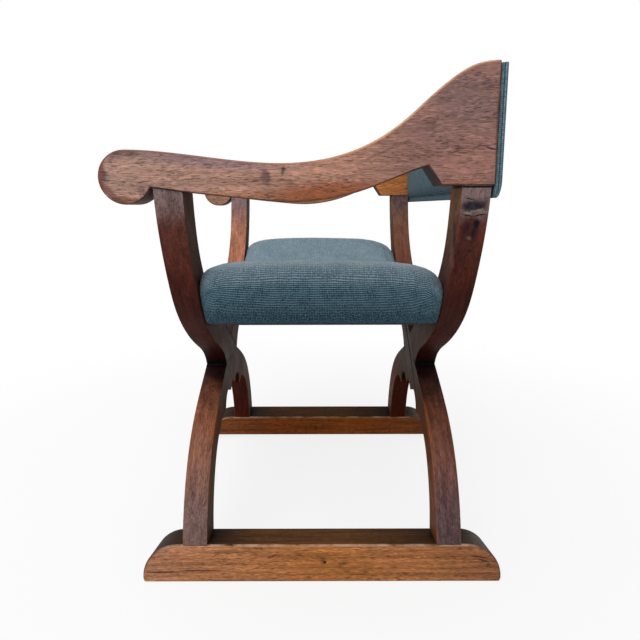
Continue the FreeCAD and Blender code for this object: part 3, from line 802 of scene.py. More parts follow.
    def weave(self, points: np.ndarray, normals: np.ndarray) -> np.ndarray:
        """Runs the ribs from front to back over the seat and its ends.

        Args:
            points: a row for each face corner.
            normals: its face's normal.

        Returns:
            Metres across the ribs from the dip, and along them.
        """
        nominal = np.array(self.outline(0.0, 0.0))[::-1]
        lengths = np.concatenate([[0.0], np.cumsum(np.abs(np.diff(nominal)))])
        depth = points[:, 1] - self.centre_y
        across = np.zeros(len(points))
        bin_depth = 4 * MM
        bins = np.round(depth / bin_depth).astype(int)
        for number in np.unique(bins):
            mine = np.nonzero(bins == number)[0]
            local = np.array(self.outline(float(self.drop_at(number * bin_depth)), 0.0))[::-1]
            spots = np.abs(points[mine, 0]) + 1j * points[mine, 2]
            starts, steps = local[:-1], np.diff(local)
            share = np.clip(((spots[:, None] - starts) / steps).real, 0, 1)
            gaps = np.abs(starts + share * steps - spots[:, None])
            best = gaps.argmin(axis=1)
            picked = share[np.arange(len(mine)), best]
            across[mine] = lengths[best] + picked * (lengths[best + 1] - lengths[best])
        cap = np.abs(normals[:, 1]) > self.cap_slope
        top = slice(self.top_steps + 1)
        top_z = np.interp(np.abs(points[:, 0]), nominal.real[top], nominal.imag[top])
        across = np.where(cap, np.interp(np.abs(points[:, 0]), nominal.real[top], lengths[top]), across)
        along = np.where(cap, depth + np.sign(depth) * (top_z - points[:, 2]), depth)
        return np.stack([across * np.sign(points[:, 0]), along], axis=1)

    def build_cushion(self) -> Piece:
        """Builds the upholstered seat over its cover and its stuffing.

        Returns:
            The padded piece.
        """
        piece = place_piece(self.form(self.slack), "seat_upholstery", self.cloth.material())
        remeshed(piece, self.voxel)
        start = points_of(piece.data)
        nailed = np.nonzero(start[:, 2] < self.underside + self.end_rise + self.nailed_height)[0]
        swollen(piece, nailed.tolist(), cap=self.slack + self.swell, pressure=self.pressure)
        self._tuck(piece.data)
        set_weave(piece.data, self.weave)
        smooth_surface(piece)
        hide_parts("seat_cover", "seat_padding")
        report(piece)
        return piece

    def _tuck(self, mesh: bpy.types.Mesh) -> None:
        """Presses the cloth flat against the leg frames and keeps it above the bottom cloth."""
        points = points_of(mesh)
        reach = self.half_depth - self.side_gap
        points[:, 1] = np.clip(points[:, 1], self.centre_y - reach, self.centre_y + reach)
        within = np.minimum(np.abs(points[:, 0]), self.end_half_width)
        ring = self.underside + self.radius - np.sqrt(self.radius ** 2 - within ** 2)
        inner = np.abs(points[:, 0]) < self.end_half_width - self.lip_width
        points[:, 2] = np.where(inner, np.maximum(points[:, 2], ring + self.bottom_cloth + self.cloth_gap),
                                points[:, 2])
        set_points(mesh, points)

    def build_bottom_cloth(self) -> Piece:
        """Builds the cambric under the seat.

        Returns:
            The sheet, stretched over the slats and nailed to the side rails.
        """
        half_width, half_length, radius = self.cambric_half_width, self.cambric_half_length, self.radius
        lower = self.underside + self.cambric_gap
        bm = bmesh.new()
        bmesh.ops.create_grid(bm, x_segments=60, y_segments=24, size=1.0)
        for vert in bm.verts:
            x = vert.co.x * half_width
            pinch = self.pinch * math.sin(vert.co.y * math.pi * self.nails) * abs(vert.co.x) ** 8
            z = lower + radius - math.sqrt(radius ** 2 - x ** 2)
            vert.co = (x + pinch, vert.co.y * half_length + self.centre_y, z)
        bm.normal_update()
        made = bmesh.ops.extrude_face_region(bm, geom=bm.faces[:])["geom"]
        upper = [g for g in made if isinstance(g, bmesh.types.BMVert)]
        bmesh.ops.translate(bm, vec=(0, 0, CLOTH_THICKNESS), verts=upper)
        bmesh.ops.recalc_face_normals(bm, faces=bm.faces)
        piece = place_piece(bm, "seat_bottom_cambric", self.cambric.material())
        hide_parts("seat_bottom_cloth")
        report(piece)
        return piece


@dataclass
class Back:
    """The back: a thin pad between the arms under one cloth, and a second cloth behind, sewn to it."""

    half_width: float = 346 * MM
    top: float = 804 * MM
    bottom: float = 630 * MM
    front_y: float = 235.05 * MM
    seam_y: float = 240.05 * MM
    rear_y: float = 244.9 * MM
    pad_half_width: float = 294 * MM
    pad_bottom: float = 642 * MM
    pad_top: float = 798.5 * MM
    pad_edge: float = 6.5 * MM
    pad_crown: float = 13.5 * MM
    pad_round: float = 12 * MM
    lower_round: float = 1.6  # how much wider the pad's lower edge is rounded
    crown_powers: tuple[float, float] = (2.4, 2.2)  # how flat the crown's middle is, across and up
    edge_slope: float = 0.7  # least outward part of the normal on the panel's edges
    levels: int = 8  # cuts over the height on which the lower edge rounds off
    cut_spacing: float = 50 * MM  # of the upright cuts
    curl: float = 24 * MM  # height over which the lower edge rounds off
    lower_edge: float = 2.2 * MM  # thickness that is left there
    rim_round: float = 2.2 * MM
    seam_gap: float = 0.15 * MM
    skin: float = 1 * MM  # points this near to a face's plane are its own
    voxel: float = 2.6 * MM
    cloth: RibbedCloth = RibbedCloth(
        name="ribbed_wool_back", ground="#435c68", raised="#6f858c", hollow="#223844", faded="#5f747b",
        fade_and_sheen_stops=((-0.36, 0.4), (-0.3, 0.25), (0.3, 0.25), (0.36, 0.4)),
        rib_stops=((-0.348, 0.3), (-0.343, 0.7), (0.343, 0.7), (0.348, 0.3)), rib_spacing=3.2 * MM)

    def panel(self, front: float, rear: float) -> bmesh.types.BMesh:
        """A flat slab of the back.

        Args:
            front: where it starts.
            rear: where it ends.

        Returns:
            A bmesh box over the back's width and height.
        """
        bm = bmesh.new()
        bmesh.ops.create_cube(bm, size=1.0)
        size = (2 * self.half_width, rear - front, self.top - self.bottom)
        middle = (0.0, (front + rear) / 2, (self.top + self.bottom) / 2)
        bmesh.ops.transform(bm, matrix=Matrix.Translation(middle) @ Matrix.Diagonal((*size, 1.0)),
                            verts=bm.verts)
        return bm

    def curled(self, points: np.ndarray) -> np.ndarray:
        """Rounds the slab off behind its lower edge.

        Args:
            points: one row for each vertex.

        Returns:
            The moved points.
        """
        rise = np.clip((points[:, 2] - self.bottom) / self.curl, 0, 1)
        least = self.front_y + self.lower_edge
        limit = least + (self.rear_y - self.front_y - self.lower_edge) * np.sqrt(1 - (1 - rise) ** 2)
        share = (points[:, 1] - self.front_y) / (self.rear_y - self.front_y)
        inside = points[:, 1] > self.front_y
        points[:, 1] = np.where(inside, self.front_y + share * (limit - self.front_y), points[:, 1])
        return points

    def weave(self, points: np.ndarray, normals: np.ndarray) -> np.ndarray:
        """Runs the ribs up the back, and up its edges.

        Args:
            points: a row for each face corner.
            normals: its face's normal.

        Returns:
            Metres across the ribs, which is the width, and along them.
        """
        edge = np.abs(normals[:, 0]) > self.edge_slope
        cap = np.abs(normals[:, 2]) > self.edge_slope
        round_edge = np.sign(points[:, 0]) * (points[:, 1] - self.front_y)
        across = points[:, 0] + np.where(edge, round_edge, 0)
        along = points[:, 2] + np.where(cap, points[:, 1] - self.front_y, 0)
        return np.stack([across, along], axis=1)

    def build_front(self) -> Piece:
        """Builds the padded front of the back.

        Returns:
            The padded piece, which stands for the front cover and the padding.
        """
        bm = self.panel(self.front_y, self.seam_y)
        piece = place_piece(bm, "back_front_upholstery", self.cloth.material())
        remeshed(piece, self.voxel)
        set_points(piece.data, self.curled(self._crowned(points_of(piece.data))))
        set_weave(piece.data, self.weave)
        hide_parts("back_front_cover", "back_padding")
        report(piece)
        return piece

    def _crowned(self, points: np.ndarray) -> np.ndarray:
        """Presses the pad out of the front between the arms, crowned and with rounded edges."""
        across = np.clip(np.abs(points[:, 0]) / self.pad_half_width, 0, 1)
        middle = (self.pad_bottom + self.pad_top) / 2
        up = np.clip(np.abs(points[:, 2] - middle) / ((self.pad_top - self.pad_bottom) / 2), 0, 1)
        swell = (1 - across ** self.crown_powers[0]) * (1 - up ** self.crown_powers[1])
        rims = ((self.pad_half_width - np.abs(points[:, 0])) / self.pad_round,
                (points[:, 2] - self.pad_bottom) / (self.lower_round * self.pad_round),
                (self.pad_top - points[:, 2]) / self.pad_round)
        height = self.pad_edge + (self.pad_crown - self.pad_edge) * swell
        for rim in rims:
            height = height * np.sqrt(1 - (1 - np.clip(rim, 0, 1)) ** 2)
        skin = points[:, 1] < self.front_y + self.skin
        points[:, 1] -= np.where(skin, height, 0)
        return points

    def build_rear(self) -> Piece:
        """Builds the cloth behind the back.

        Returns:
            The sheet, which stands for the rear cover.
        """
        bm = self.panel(self.seam_y + self.seam_gap, self.rear_y)
        rim = [e for e in bm.edges if all(v.co.y > self.seam_y + self.skin for v in e.verts)]
        bmesh.ops.bevel(bm, geom=rim, offset=self.rim_round, offset_type="OFFSET", segments=4, profile=0.5,
                        affect="EDGES", material=-1)
        cuts = [(Vector((0, 0, 1)), self.bottom + self.curl * i / self.levels)
                for i in range(1, self.levels + 1)]
        cuts += [(Vector((1, 0, 0)), x * self.cut_spacing) for x in range(-6, 7)]
        for normal, at in cuts:
            bmesh.ops.bisect_plane(bm, geom=bm.verts[:] + bm.edges[:] + bm.faces[:], dist=WELD,
                                   plane_co=normal * at, plane_no=normal)
        front = [f for f in bm.faces if f.normal.y < -0.9]
        bmesh.ops.delete(bm, geom=front, context="FACES")
        piece = place_piece(bm, "back_rear_cloth", self.cloth.material())
        set_points(piece.data, self.curled(points_of(piece.data)))
        set_weave(piece.data, self.weave)
        wall = piece.modifiers.new("cloth", "SOLIDIFY")
        wall.thickness = CLOTH_THICKNESS
        wall.offset = -1
        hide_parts("back_rear_cover")
        report(piece)
        return piece


@dataclass
class LegFrame:
    """One pair of crossed S-legs, halved across each other and pegged at the hip."""

    end: End
    front_y: float
    thickness: float = 40.5 * MM
    easing: float = 1.3 * MM
    # colours along the height on faces that look up: painted light, with the waist's dark dirt band
    upward_painted_light_and_dirt: Stops = ((0.06, "#775e58"), (0.13, "#7b5f5a"), (0.19, "#8f604c"), (0.25, "#844f38"),
                         (0.295, "#2a1614"), (0.325, "#241212"), (0.36, "#4a2a22"), (0.50, "#a2694f"),
                         (0.58, "#a06c58"), (0.625, "#80696b"), (0.67, "#78666a"))
    # on faces that look down: painted shade, with the waist's dark dirt band
    downward_painted_shade_and_dirt: Stops = ((0.06, "#4a1a0c"), (0.2, "#46180a"), (0.26, "#2e110a"), (0.30, "#100a0c"),
                         (0.335, "#2e0c06"), (0.38, "#42180d"), (0.46, "#421c15"), (0.52, "#4f231a"),
                         (0.585, "#5e352c"), (0.61, "#745a57"), (0.65, "#8a7775"))
    flat_face: Stops = ((0.06, "#5e4534"), (0.15, "#5e4534"), (0.2, "#623e2a"), (0.25, "#583a2c"),
                        (0.29, "#594232"), (0.33, "#5c4434"), (0.42, "#4a291d"), (0.5, "#502d21"),
                        (0.58, "#54382a"), (0.66, "#604634"))
    marks: tuple[Stain, ...] = ()  # on the leg that rises to the right arm
    rubbed: str = "#8e4d28"  # where feet have rubbed the lower legs

    def finish(self, leg: str, rises_right: bool) -> Walnut:
        """The wood of one leg.

        Args:
            leg: its node's name.
            rises_right: whether it rises to the right arm.

        Returns:
            Dark reddish walnut with painted light on the faces that look up and painted shade on those that
            look down, and black dirt in the waist.
        """
        lean = -1.0 if rises_right else 1.0
        return Walnut(
            name=f"waxed_walnut_{leg}",
            tones=(Tone(self.flat_face, "Z"),
                   # painted shade on faces that look down, painted light on faces that look up
                   Tone(self.downward_painted_shade_and_dirt, "Z", (-lean, 0, -0.75), (0.25, 0.6)),
                   Tone(self.upward_painted_light_and_dirt, "Z", (lean, 0, 0.75), (0.25, 0.6))),
            worn=((0.06, "#93604a"), (0.14, "#966248"), (0.2, "#a5603a"), (0.26, "#8a4624"),
                  (0.29, "#1e1210"), (0.36, "#2c120b"), (0.45, "#4c2218"), (0.55, "#603428"),
                  (0.62, "#6e4c47")),
            wear=0.55, worn_axis="Z", worn_from=-0.9, pore_colour="#1a0e0c", gloss=0.06,
            pore_strength=0.5, pore_width=1.8 * MM, gleam=0.3, figure_strength=0.35,
            grain_turn=(0, 48 if rises_right else 132, 0), cut=(0.3 * lean, self.front_y * 3, 0.17),
            figure_width=9 * MM, pore_length=12 * MM, stains=self.stains(rises_right))

    def stains(self, rises_right: bool) -> tuple[Stain, ...]:
        """The marks on one leg.

        Args:
            rises_right: whether it rises to the right arm.

        Returns:
            Black dirt at the waist, a painted shadow line under the arm, painted shadow in the hollows under
            the hip, a thin line of painted bluish sheen at the hip, dark flecks near the foot, and the leg's
            own marks.
        """
        middle = self.front_y + self.thickness / 2
        dirt = [Stain((x, middle, 308 * MM), (40 * MM, 60 * MM, 9 * MM), "#0d0b0e", 0.95, 0.4, ragged=5 * MM)
                for x in (-65 * MM, 65 * MM)]
        out = 1 if rises_right else -1
        front = self.end is End.FRONT
        # painted shadow: a black line at the leg's top, where the arm sits on it
        shadow_line_height = 3.2 * MM if front else 1.8 * MM
        dirt.append(Stain((330 * MM * out, middle, 645 * MM), (60 * MM, 60 * MM, shadow_line_height), "#0c0909", 0.95,
                          0.6, (-4 if front else 0, 0, 0), ragged=1 * MM))
        inner_y = self.front_y + (self.thickness if front else 0)
        # painted shadow: black spots in the hollows beside the arch's cusps under the hip
        dirt += [Stain((x, inner_y, 229 * MM), (15 * MM, 15 * MM, 13 * MM), "#0c0707", 0.97, 0.6,
                       ragged=1.5 * MM) for x in (-84 * MM, 84 * MM)]
        # painted sheen: a thin blue-grey line along the hip
        dirt.append(Stain((0, middle, 305.5 * MM), (110 * MM, 60 * MM, 1.6 * MM), "#2b3038", 0.8, 0.4,
                          ragged=1 * MM))
        # painted shadow: black in the hollow at the arch's top under the hip
        dirt.append(Stain((0, middle, 268 * MM), (75 * MM, 17 * MM, 22 * MM), "#0c0707", 0.95, 0.6,
                          ragged=1.5 * MM))
        flecks = [Stain((250 * MM * -out, middle - 5 * MM, 160 * MM), (60 * MM, 6 * MM, 45 * MM), "#46363b",
                        0.7, 0.2, dapple=0.6)]
        foot = [Stain((190 * MM * -out, inner_y, 238 * MM), (75 * MM, 6 * MM, 16 * MM), self.rubbed, 0.75,
                      0.35, (0, 42 * -out, 0), ragged=4 * MM),
                Stain((254 * MM * -out, inner_y, 155 * MM), (55 * MM, 3 * MM, 10 * MM), self.rubbed, 0.6,
                      0.3, (0, 65 * -out, 0), ragged=3 * MM)]
        return (*dirt, *flecks, *foot, *self.marks_below(-out), *(self.marks if rises_right else ()))

    def marks_below(self, foot: int) -> tuple[Stain, ...]:
        """The streaks on the lower half of a back leg.

        Args:
            foot: the side that the foot stands on, 1 for the right.

        Returns:
            An olive streak below the hip and a dark strip along the rear edge, on the back frame alone.
        """
        if self.end is End.FRONT:
            return ()
        return (Stain((130 * MM * foot, 222 * MM, 270 * MM), (55 * MM, 6 * MM, 14 * MM), "#33231a", 0.7,
                      0.3, (0, 38 * foot, 0), ragged=4 * MM),
                Stain((245 * MM * foot, 231.5 * MM, 175 * MM), (110 * MM, 5.5 * MM, 25 * MM), "#5b382b",
                      0.65, 0.4, (0, 58 * foot, 0), ragged=3 * MM))

    def build(self) -> list[Piece]:
        """Builds both legs and dresses their peg.

        Returns:
            The eased legs.
        """
        faces = (self.front_y, self.front_y + self.thickness)

        def eased(a: Vector, b: Vector) -> bool:
            """Whether both points lie on one flat face, outside the tenons."""
            return any(abs(a.y - y) < TOUCH and abs(b.y - y) < TOUCH for y in faces)

        legs = []
        for foot in Side:
            leg = f"{self.end.value}_leg_{foot.label}_foot"
            finish = self.finish(leg, rises_right=foot is Side.LEFT)
            legs.append(WoodenPiece(leg, "leg_wood", finish, self.easing, eased, segments=2).build())
        oak = PlainFinish(f"oak_peg_{self.end.value}", "#5c4430", "#3c2a1e", (1 * MM, 14 * MM, 1 * MM), 0.6)
        dress(f"{self.end.value}_hip_peg", oak.material())
        return legs


# the back frame's colours on faces that look up: painted light, with the waist's dark dirt band
BACK_UPWARD_PAINTED_LIGHT_AND_DIRT: Stops = ((0.06, "#5a4647"), (0.13, "#634b4b"), (0.19, "#744a3e"), (0.25, "#653a2b"),
                        (0.295, "#241312"), (0.325, "#241212"), (0.36, "#3a2019"), (0.50, "#6a3f30"),
                        (0.58, "#76503f"), (0.625, "#5f4a48"), (0.67, "#5a4848"))
BACK_FLAT_FACE: Stops = ((0.06, "#7a482e"), (0.14, "#824c2f"), (0.2, "#6e3d1e"), (0.25, "#54321d"),
                         (0.29, "#594232"), (0.33, "#5c4434"), (0.42, "#4e2a1f"), (0.5, "#54332b"),
                         (0.56, "#62402f"), (0.62, "#80593d"), (0.66, "#866040"))
REPAIR = (
    Stain((0.33, 0.212, 0.636), (0.04, 0.022, 0.009), "#8a6c6c", 0.7, 0.4),
    Stain((0.33, 0.204, 0.632), (0.04, 0.009, 0.004), "#716b5e", 0.7, 0.3),
    Stain((0.33, 0.210, 0.6195), (0.04, 0.023, 0.010), "#1b1b26", 0.92, 0.45, dapple=0.15),
    Stain((0.33, 0.203, 0.629), (0.04, 0.010, 0.0013), "#15151c", 0.9, 0.4, (-15, 0, 0), ragged=4 * MM),
    Stain((0.33, 0.208, 0.585), (0.04, 0.019, 0.024), "#43211b", 0.85, 0.6, (-6, 0, 0), ragged=4 * MM),
    Stain((0.33, 0.226, 0.586), (0.04, 0.006, 0.024), "#6a2e29", 0.6, 0.4, (-8, 0, 0), ragged=3 * MM),
    Stain((0.325, 0.192, 0.585), (0.03, 0.0022, 0.026), "#6e3329", 0.7, 0.4, ragged=2 * MM),
    Stain((0.33, 0.203, 0.589), (0.04, 0.006, 0.012), "#331a22", 0.85, 0.35),
    Stain((0.33, 0.202, 0.6105), (0.04, 0.013, 0.0032), "#7d8173", 0.9, 0.4, (9, 0, 0), dapple=0.3),
    Stain((0.33, 0.219, 0.6125), (0.04, 0.013, 0.0034), "#7d8173", 0.85, 0.4, (-3, 0, 0), dapple=0.4),
    Stain((0.33, 0.202, 0.607), (0.04, 0.012, 0.0012), "#111118", 0.95, 0.5, (-12, 0, 0), ragged=4 * MM),
    Stain((0.33, 0.219, 0.6065), (0.04, 0.010, 0.0012), "#111118", 0.95, 0.5, (14, 0, 0), ragged=4 * MM),
    Stain((0.33, 0.217, 0.595), (0.04, 0.0065, 0.009), "#10131e", 0.95, 0.4, ragged=5 * MM),
    Stain((0.33, 0.214, 0.583), (0.04, 0.0045, 0.010), "#171a24", 0.9, 0.35, ragged=5 * MM),
    Stain((0.33, 0.209, 0.574), (0.04, 0.0055, 0.004), "#686a55", 0.75, 0.25, dapple=0.6, ragged=5 * MM),
    Stain((0.33, 0.213, 0.556), (0.04, 0.0055, 0.004), "#22151a", 0.85, 0.3, ragged=5 * MM),
    Stain((0.33, 0.197, 0.553), (0.04, 0.004, 0.006), "#2a1816", 0.7, 0.3),
    Stain((0.316, 0.190, 0.578), (0.009, 0.006, 0.036), "#1e1416", 0.9, 0.4, (0, -12, 0), dapple=0.3),
    Stain((0.305, 0.190, 0.545), (0.012, 0.006, 0.030), "#7a4f4a", 0.6, 0.3, (0, -14, 0), dapple=0.3))


@dataclass
class Runner:
    """A side runner with rounded ends, orange brown outside and dark with dirt on top."""

    side: Side
    reach: float = 291 * MM  # from the chair's middle to the outer face
    width: float = 56 * MM
    easing: float = 3 * MM

    @property
    def outer_x(self) -> float:
        """Where the outer face lies."""
        return self.side.value * self.reach

    def finish(self) -> Walnut:
        """The wood of the runner.

        Returns:
            Orange-brown walnut with a dark top and dark ends.
        """
        out = float(self.side.value)
        return Walnut(
            name=f"rubbed_walnut_runner_{self.side.label}",
            tones=(Tone(((-0.3, "#b07a5c"), (-0.18, "#b37850"), (0.0, "#b0703a"), (0.15, "#b07245"),
                         (0.3, "#94603f")), "Y"),
                   Tone(((-0.3, "#6e4020"), (-0.1, "#96501d"), (0.1, "#a3581f"), (0.3, "#7a4220")), "Y",
                        (-out, 0, -0.15), (0.3, 0.7)),
                   Tone(((-0.3, "#3c2c1e"), (-0.19, "#2a1c14"), (-0.08, "#634020"), (0.05, "#664220"),
                         (0.19, "#38220f"), (0.3, "#45403a")),
                        "Y", (0, 0, 1), (0.3, 0.75)),
                   Tone(((-0.3, "#3a3026"), (0.3, "#3a3026")), "Y", (0, -0.92, 0.4), (0.5, 0.8)),
                   Tone(((-0.3, "#5e5548"), (0.3, "#5e5548")), "Y", (0, 0.92, 0.4), (0.5, 0.8))),
            worn=((-0.3, "#3c2c22"), (-0.275, "#5a4232"), (-0.25, "#c39a84"), (0.24, "#c0977e"),
                  (0.265, "#6a4a38"), (0.3, "#2e211b")),
            wear=0.85, pore_colour="#3a2016", pore_strength=0.6, gleam=0.45, figure_strength=0.38,
            grain_turn=(0, 0, 90), cut=(0.2 * out, 0.1, 0.05), figure_width=5 * MM, pore_width=1.5 * MM,
            pore_length=9 * MM, waviness=2.5 * MM, roughness=0.55, gloss=0.12, stains=self.stains())

    def stains(self) -> tuple[Stain, ...]:
        """The knocks, cracks and dirt on one runner.

        Returns:
            Dirt beside both feet, a painted contact shadow along the bottom of the outer face, and dents and
            cracks on the outer face.
        """
        x, wide = self.outer_x, 20 * MM
        return (
            Stain((x * 0.9, -0.208, 0.066), (0.027, 0.036, 0.016), "#15100e", 0.85, 0.5),
            Stain((x * 0.9, 0.211, 0.066), (0.027, 0.036, 0.016), "#15100e", 0.85, 0.5),
            # painted contact shadow along the bottom of the outer face
            Stain((x, 0.0, 0.0), (6 * MM, 0.33, 3 * MM), "#3a2418", 0.8, 0.4, ragged=2 * MM),
            Stain((x * 0.9, -0.110, 0.0685), (0.027, 0.060, 0.004), "#8a5a30", 0.55, 0.2, dapple=0.6),
            Stain((x * 0.9, 0.020, 0.0685), (0.027, 0.075, 0.004), "#8a5830", 0.5, 0.2, dapple=0.6),
            Stain((x * 0.9, 0.130, 0.0685), (0.027, 0.045, 0.004), "#7c4f2c", 0.5, 0.2, dapple=0.6),
            Stain((x, -0.081, 0.048), (wide, 0.012, 0.004), "#4a2e22", 0.8, 0.2, (25, 0, 0), 0.5),
            Stain((x, -0.039, 0.052), (wide, 0.014, 0.004), "#58382a", 0.7, 0.2, (-15, 0, 0), 0.5),
            Stain((x, 0.003, 0.041), (wide, 0.009, 0.013), "#5c3a28", 0.6, 0.2, (0, 0, 0), 0.7),
            Stain((x, 0.006, 0.037), (wide, 0.004, 0.004), "#120c0a", 0.95, 0.4),
            Stain((x, 0.036, 0.034), (wide, 0.012, 0.006), "#4e3224", 0.75, 0.2, (30, 0, 0), 0.6),
            Stain((x, 0.074, 0.024), (wide, 0.008, 0.014), "#57382a", 0.65, 0.2, (0, 0, 0), 0.7),
            Stain((x, -0.262, 0.019), (wide, 0.036, 0.0019), "#33201a", 0.9, 0.5, (1, 0, 0),
                  ragged=1.5 * MM),
            Stain((x, -0.200, 0.0215), (wide, 0.050, 0.0016), "#3a241b", 0.85, 0.5, ragged=1.5 * MM),
            Stain((x, 0.262, 0.046), (wide, 0.018, 0.0017), "#33221c", 0.9, 0.5, (-8, 0, 0), ragged=2 * MM),
            Stain((x, 0.268, 0.040), (wide, 0.013, 0.0017), "#33221c", 0.8, 0.5, (-16, 0, 0), ragged=2 * MM),
            Stain((x, 0.278, 0.032), (wide, 0.007, 0.007), "#4d382c", 0.8, 0.3, (0, 0, 0), 0.8))

    def build(self) -> Piece:
        """Builds the runner with its long edges eased.

        Returns:
            The runner.
        """
        inner_x = self.outer_x - self.side.value * self.width

        def eased(a: Vector, b: Vector) -> bool:
            """Whether the edge is on the outline of the outer or the inner side."""
            return any(abs(a.x - x) < TOUCH and abs(b.x - x) < TOUCH for x in (self.outer_x, inner_x))

        return WoodenPiece(f"runner_{self.side.label}", "runner_wood", self.finish(), self.easing,
                           eased).build()


@dataclass
class Arm:
    """An arm with its scroll in front and its wing behind."""

    side: Side
    reach: float = 348 * MM  # from the chair's middle to the outer face
    width: float = 52 * MM
    wing_top: float = 800 * MM  # edges above this are the wing's top corner
    easing: float = 3 * MM

    @property
    def outer_x(self) -> float:
        """Where the outer face lies."""
        return self.side.value * self.reach

    def finish(self) -> Walnut:
        """The wood of the arm.

        Returns:
            Greyed pinkish walnut with wavy dark pores, and painted shade on the faces that look down.
        """
        out = float(self.side.value)
        return Walnut(
            name=f"greyed_walnut_arm_{self.side.label}",
            tones=(Tone(((-0.3, "#a98576"), (-0.15, "#b08776"), (0.02, "#ab7d69"), (0.12, "#906a60"),
                         (0.24, "#8f6961")), "Y"),
                   # painted shade on the faces that look down
                   Tone(((-0.3, "#33271f"), (-0.24, "#3a2a22"), (-0.2, "#5a2c20"), (0.08, "#663424"),
                         (0.13, "#33261f"), (0.24, "#33261f")),
                        "Y", (0, 0, -1), (0.2, 0.6)),
                   Tone(((-0.3, "#4a2620"), (0.24, "#4a2620")), "Y", (0, 1, 0), (0.2, 0.6)),
                   Tone(((-0.3, "#96705a"), (0.05, "#a8704a"), (0.14, "#bd7638"), (0.24, "#a8683a")), "Y",
                        (-out, 0, 0)),
                   Tone(((-0.3, "#6b4438"), (-0.1, "#835a49"), (0.05, "#a87a58"), (0.24, "#a87a60")), "Y",
                        (0, 0, 1), (0.3, 0.75))),
            worn=((-0.3, "#6a3a30"), (-0.2, "#6e3f33"), (0.0, "#9a6a52"), (0.08, "#c59066"),
                  (0.24, "#b47f62")),
            wear=0.9, pore_colour="#35221f", pore_strength=0.72, pore_width=1.25 * MM,
            pore_length=10 * MM, gleam=0.5, figure_strength=0.3, grain_turn=(0, 0, 90),
            cut=(0.25 * out, 0.4, 0.3), figure_width=8 * MM, waviness=7 * MM, roughness=0.5,
            stains=self.stains())

    def stains(self) -> tuple[Stain, ...]:
        """The patina of one arm.

        Returns:
            A greyed top band, dirt round the scroll, a warm lower edge, knots, the streaked wing, and painted
            shadow lines where the arm sits on the leg tops.
        """
        x, wide = self.outer_x, 20 * MM
        return (
            Stain((x, -0.150, 0.679), (wide, 0.150, 0.013), "#75616a", 0.65, 0.3, (-4.5, 0, 0)),
            Stain((x, 0.005, 0.637), (wide, 0.130, 0.021), "#8b4b27", 0.85, 0.25, (4, 0, 0)),
            Stain((x, -0.110, 0.636), (wide, 0.060, 0.008), "#93603f", 0.5, 0.3, (-3, 0, 0)),
            Stain((x, -0.297, 0.662), (wide, 0.012, 0.034), "#6a3930", 0.85, 0.4),
            Stain((x, -0.268, 0.626), (wide, 0.034, 0.008), "#6f4334", 0.8, 0.4),
            Stain((x, -0.284, 0.637), (wide, 0.026, 0.007), "#6a3d34", 0.75, 0.4, (-42, 0, 0)),
            Stain((x, -0.270, 0.693), (wide, 0.045, 0.008), "#6a4a48", 0.8, 0.4),
            Stain((x, -0.288, 0.660), (wide, 0.007, 0.014), "#5a5260", 0.75, 0.3, (0, 0, 0), 0.7),
            Stain((x, -0.278, 0.682), (wide, 0.012, 0.008), "#4f3f45", 0.75, 0.3, (0, 0, 0), 0.7),
            Stain((x, -0.238, 0.641), (wide, 0.016, 0.011), "#4e3936", 0.75, 0.3, (0, 0, 0), 0.9),
            Stain((x, -0.074, 0.658), (wide, 0.010, 0.014), "#3c2c31", 0.9, 0.25, (25, 0, 0), 0.3, 6 * MM),
            Stain((x, -0.051, 0.666), (wide, 0.004, 0.010), "#37282d", 0.9, 0.2, (-10, 0, 0), 0.3, 5 * MM),
            Stain((x, 0.185, 0.758), (wide, 0.080, 0.045), "#75605e", 0.6, 0.3, (-35, 0, 0), 0.4),
            Stain((x, 0.150, 0.718), (wide, 0.050, 0.020), "#6b5653", 0.5, 0.3, (0, 0, 0), 0.6),
            Stain((x, 0.195, 0.674), (wide, 0.065, 0.026), "#a27365", 0.6, 0.3),
            Stain((x, 0.190, 0.651), (wide, 0.050, 0.005), "#9c5f42", 0.5, 0.3),
            Stain((x, 0.2335, 0.730), (wide, 0.003, 0.085), "#583028", 0.75, 0.4, ragged=2 * MM),
            Stain((x, 0.143, 0.723), (wide, 0.013, 0.010), "#4c3836", 0.7, 0.2, (30, 0, 0), 0.6),
            Stain((x, 0.181, 0.696), (wide, 0.010, 0.006), "#4c3836", 0.75, 0.2, (-20, 0, 0), 0.6),
            Stain((x, 0.198, 0.681), (wide, 0.006, 0.005), "#4c3836", 0.75, 0.2, (0, 0, 0), 0.5),
            Stain((x, 0.217, 0.777), (wide, 0.012, 0.008), "#54454e", 0.7, 0.2, (0, 0, 0), 0.6),
            Stain((x, 0.229, 0.694), (wide, 0.014, 0.0012), "#2a1a16", 0.9, 0.5, (-12, 0, 0), ragged=2 * MM),
            Stain((x, 0.085, 0.692), (wide, 0.060, 0.0030), "#5e4440", 0.6, 0.3, (24, 0, 0), 0.4),
            # painted shadow: black lines where the arm sits on the leg tops
            Stain((x * 0.975, -0.208, 0.640), (0.02, 0.026, 0.0045), "#0c0909", 0.95, 0.7, (-6, 0, 0),
                  ragged=1 * MM),
            Stain((x * 0.975, 0.211, 0.6455), (0.02, 0.024, 0.0022), "#0c0909", 0.95, 0.7, ragged=1 * MM))

    def build(self) -> Piece:
        """Builds the arm with its outline eased.

        Returns:
            The arm.
        """
        inner_x = self.outer_x - self.side.value * self.width

        def eased(a: Vector, b: Vector) -> bool:
            """Whether the edge is on the outline of a flat side, or is the wing's top corner."""
            corner = min(a.z, b.z) > self.wing_top and (a - b).yz.length < TOUCH
            sides = (self.outer_x, inner_x)
            return corner or any(abs(a.x - x) < TOUCH and abs(b.x - x) < TOUCH for x in sides)

        return WoodenPiece(f"arm_{self.side.label}", "arm_wood", self.finish(), self.easing, eased).build()


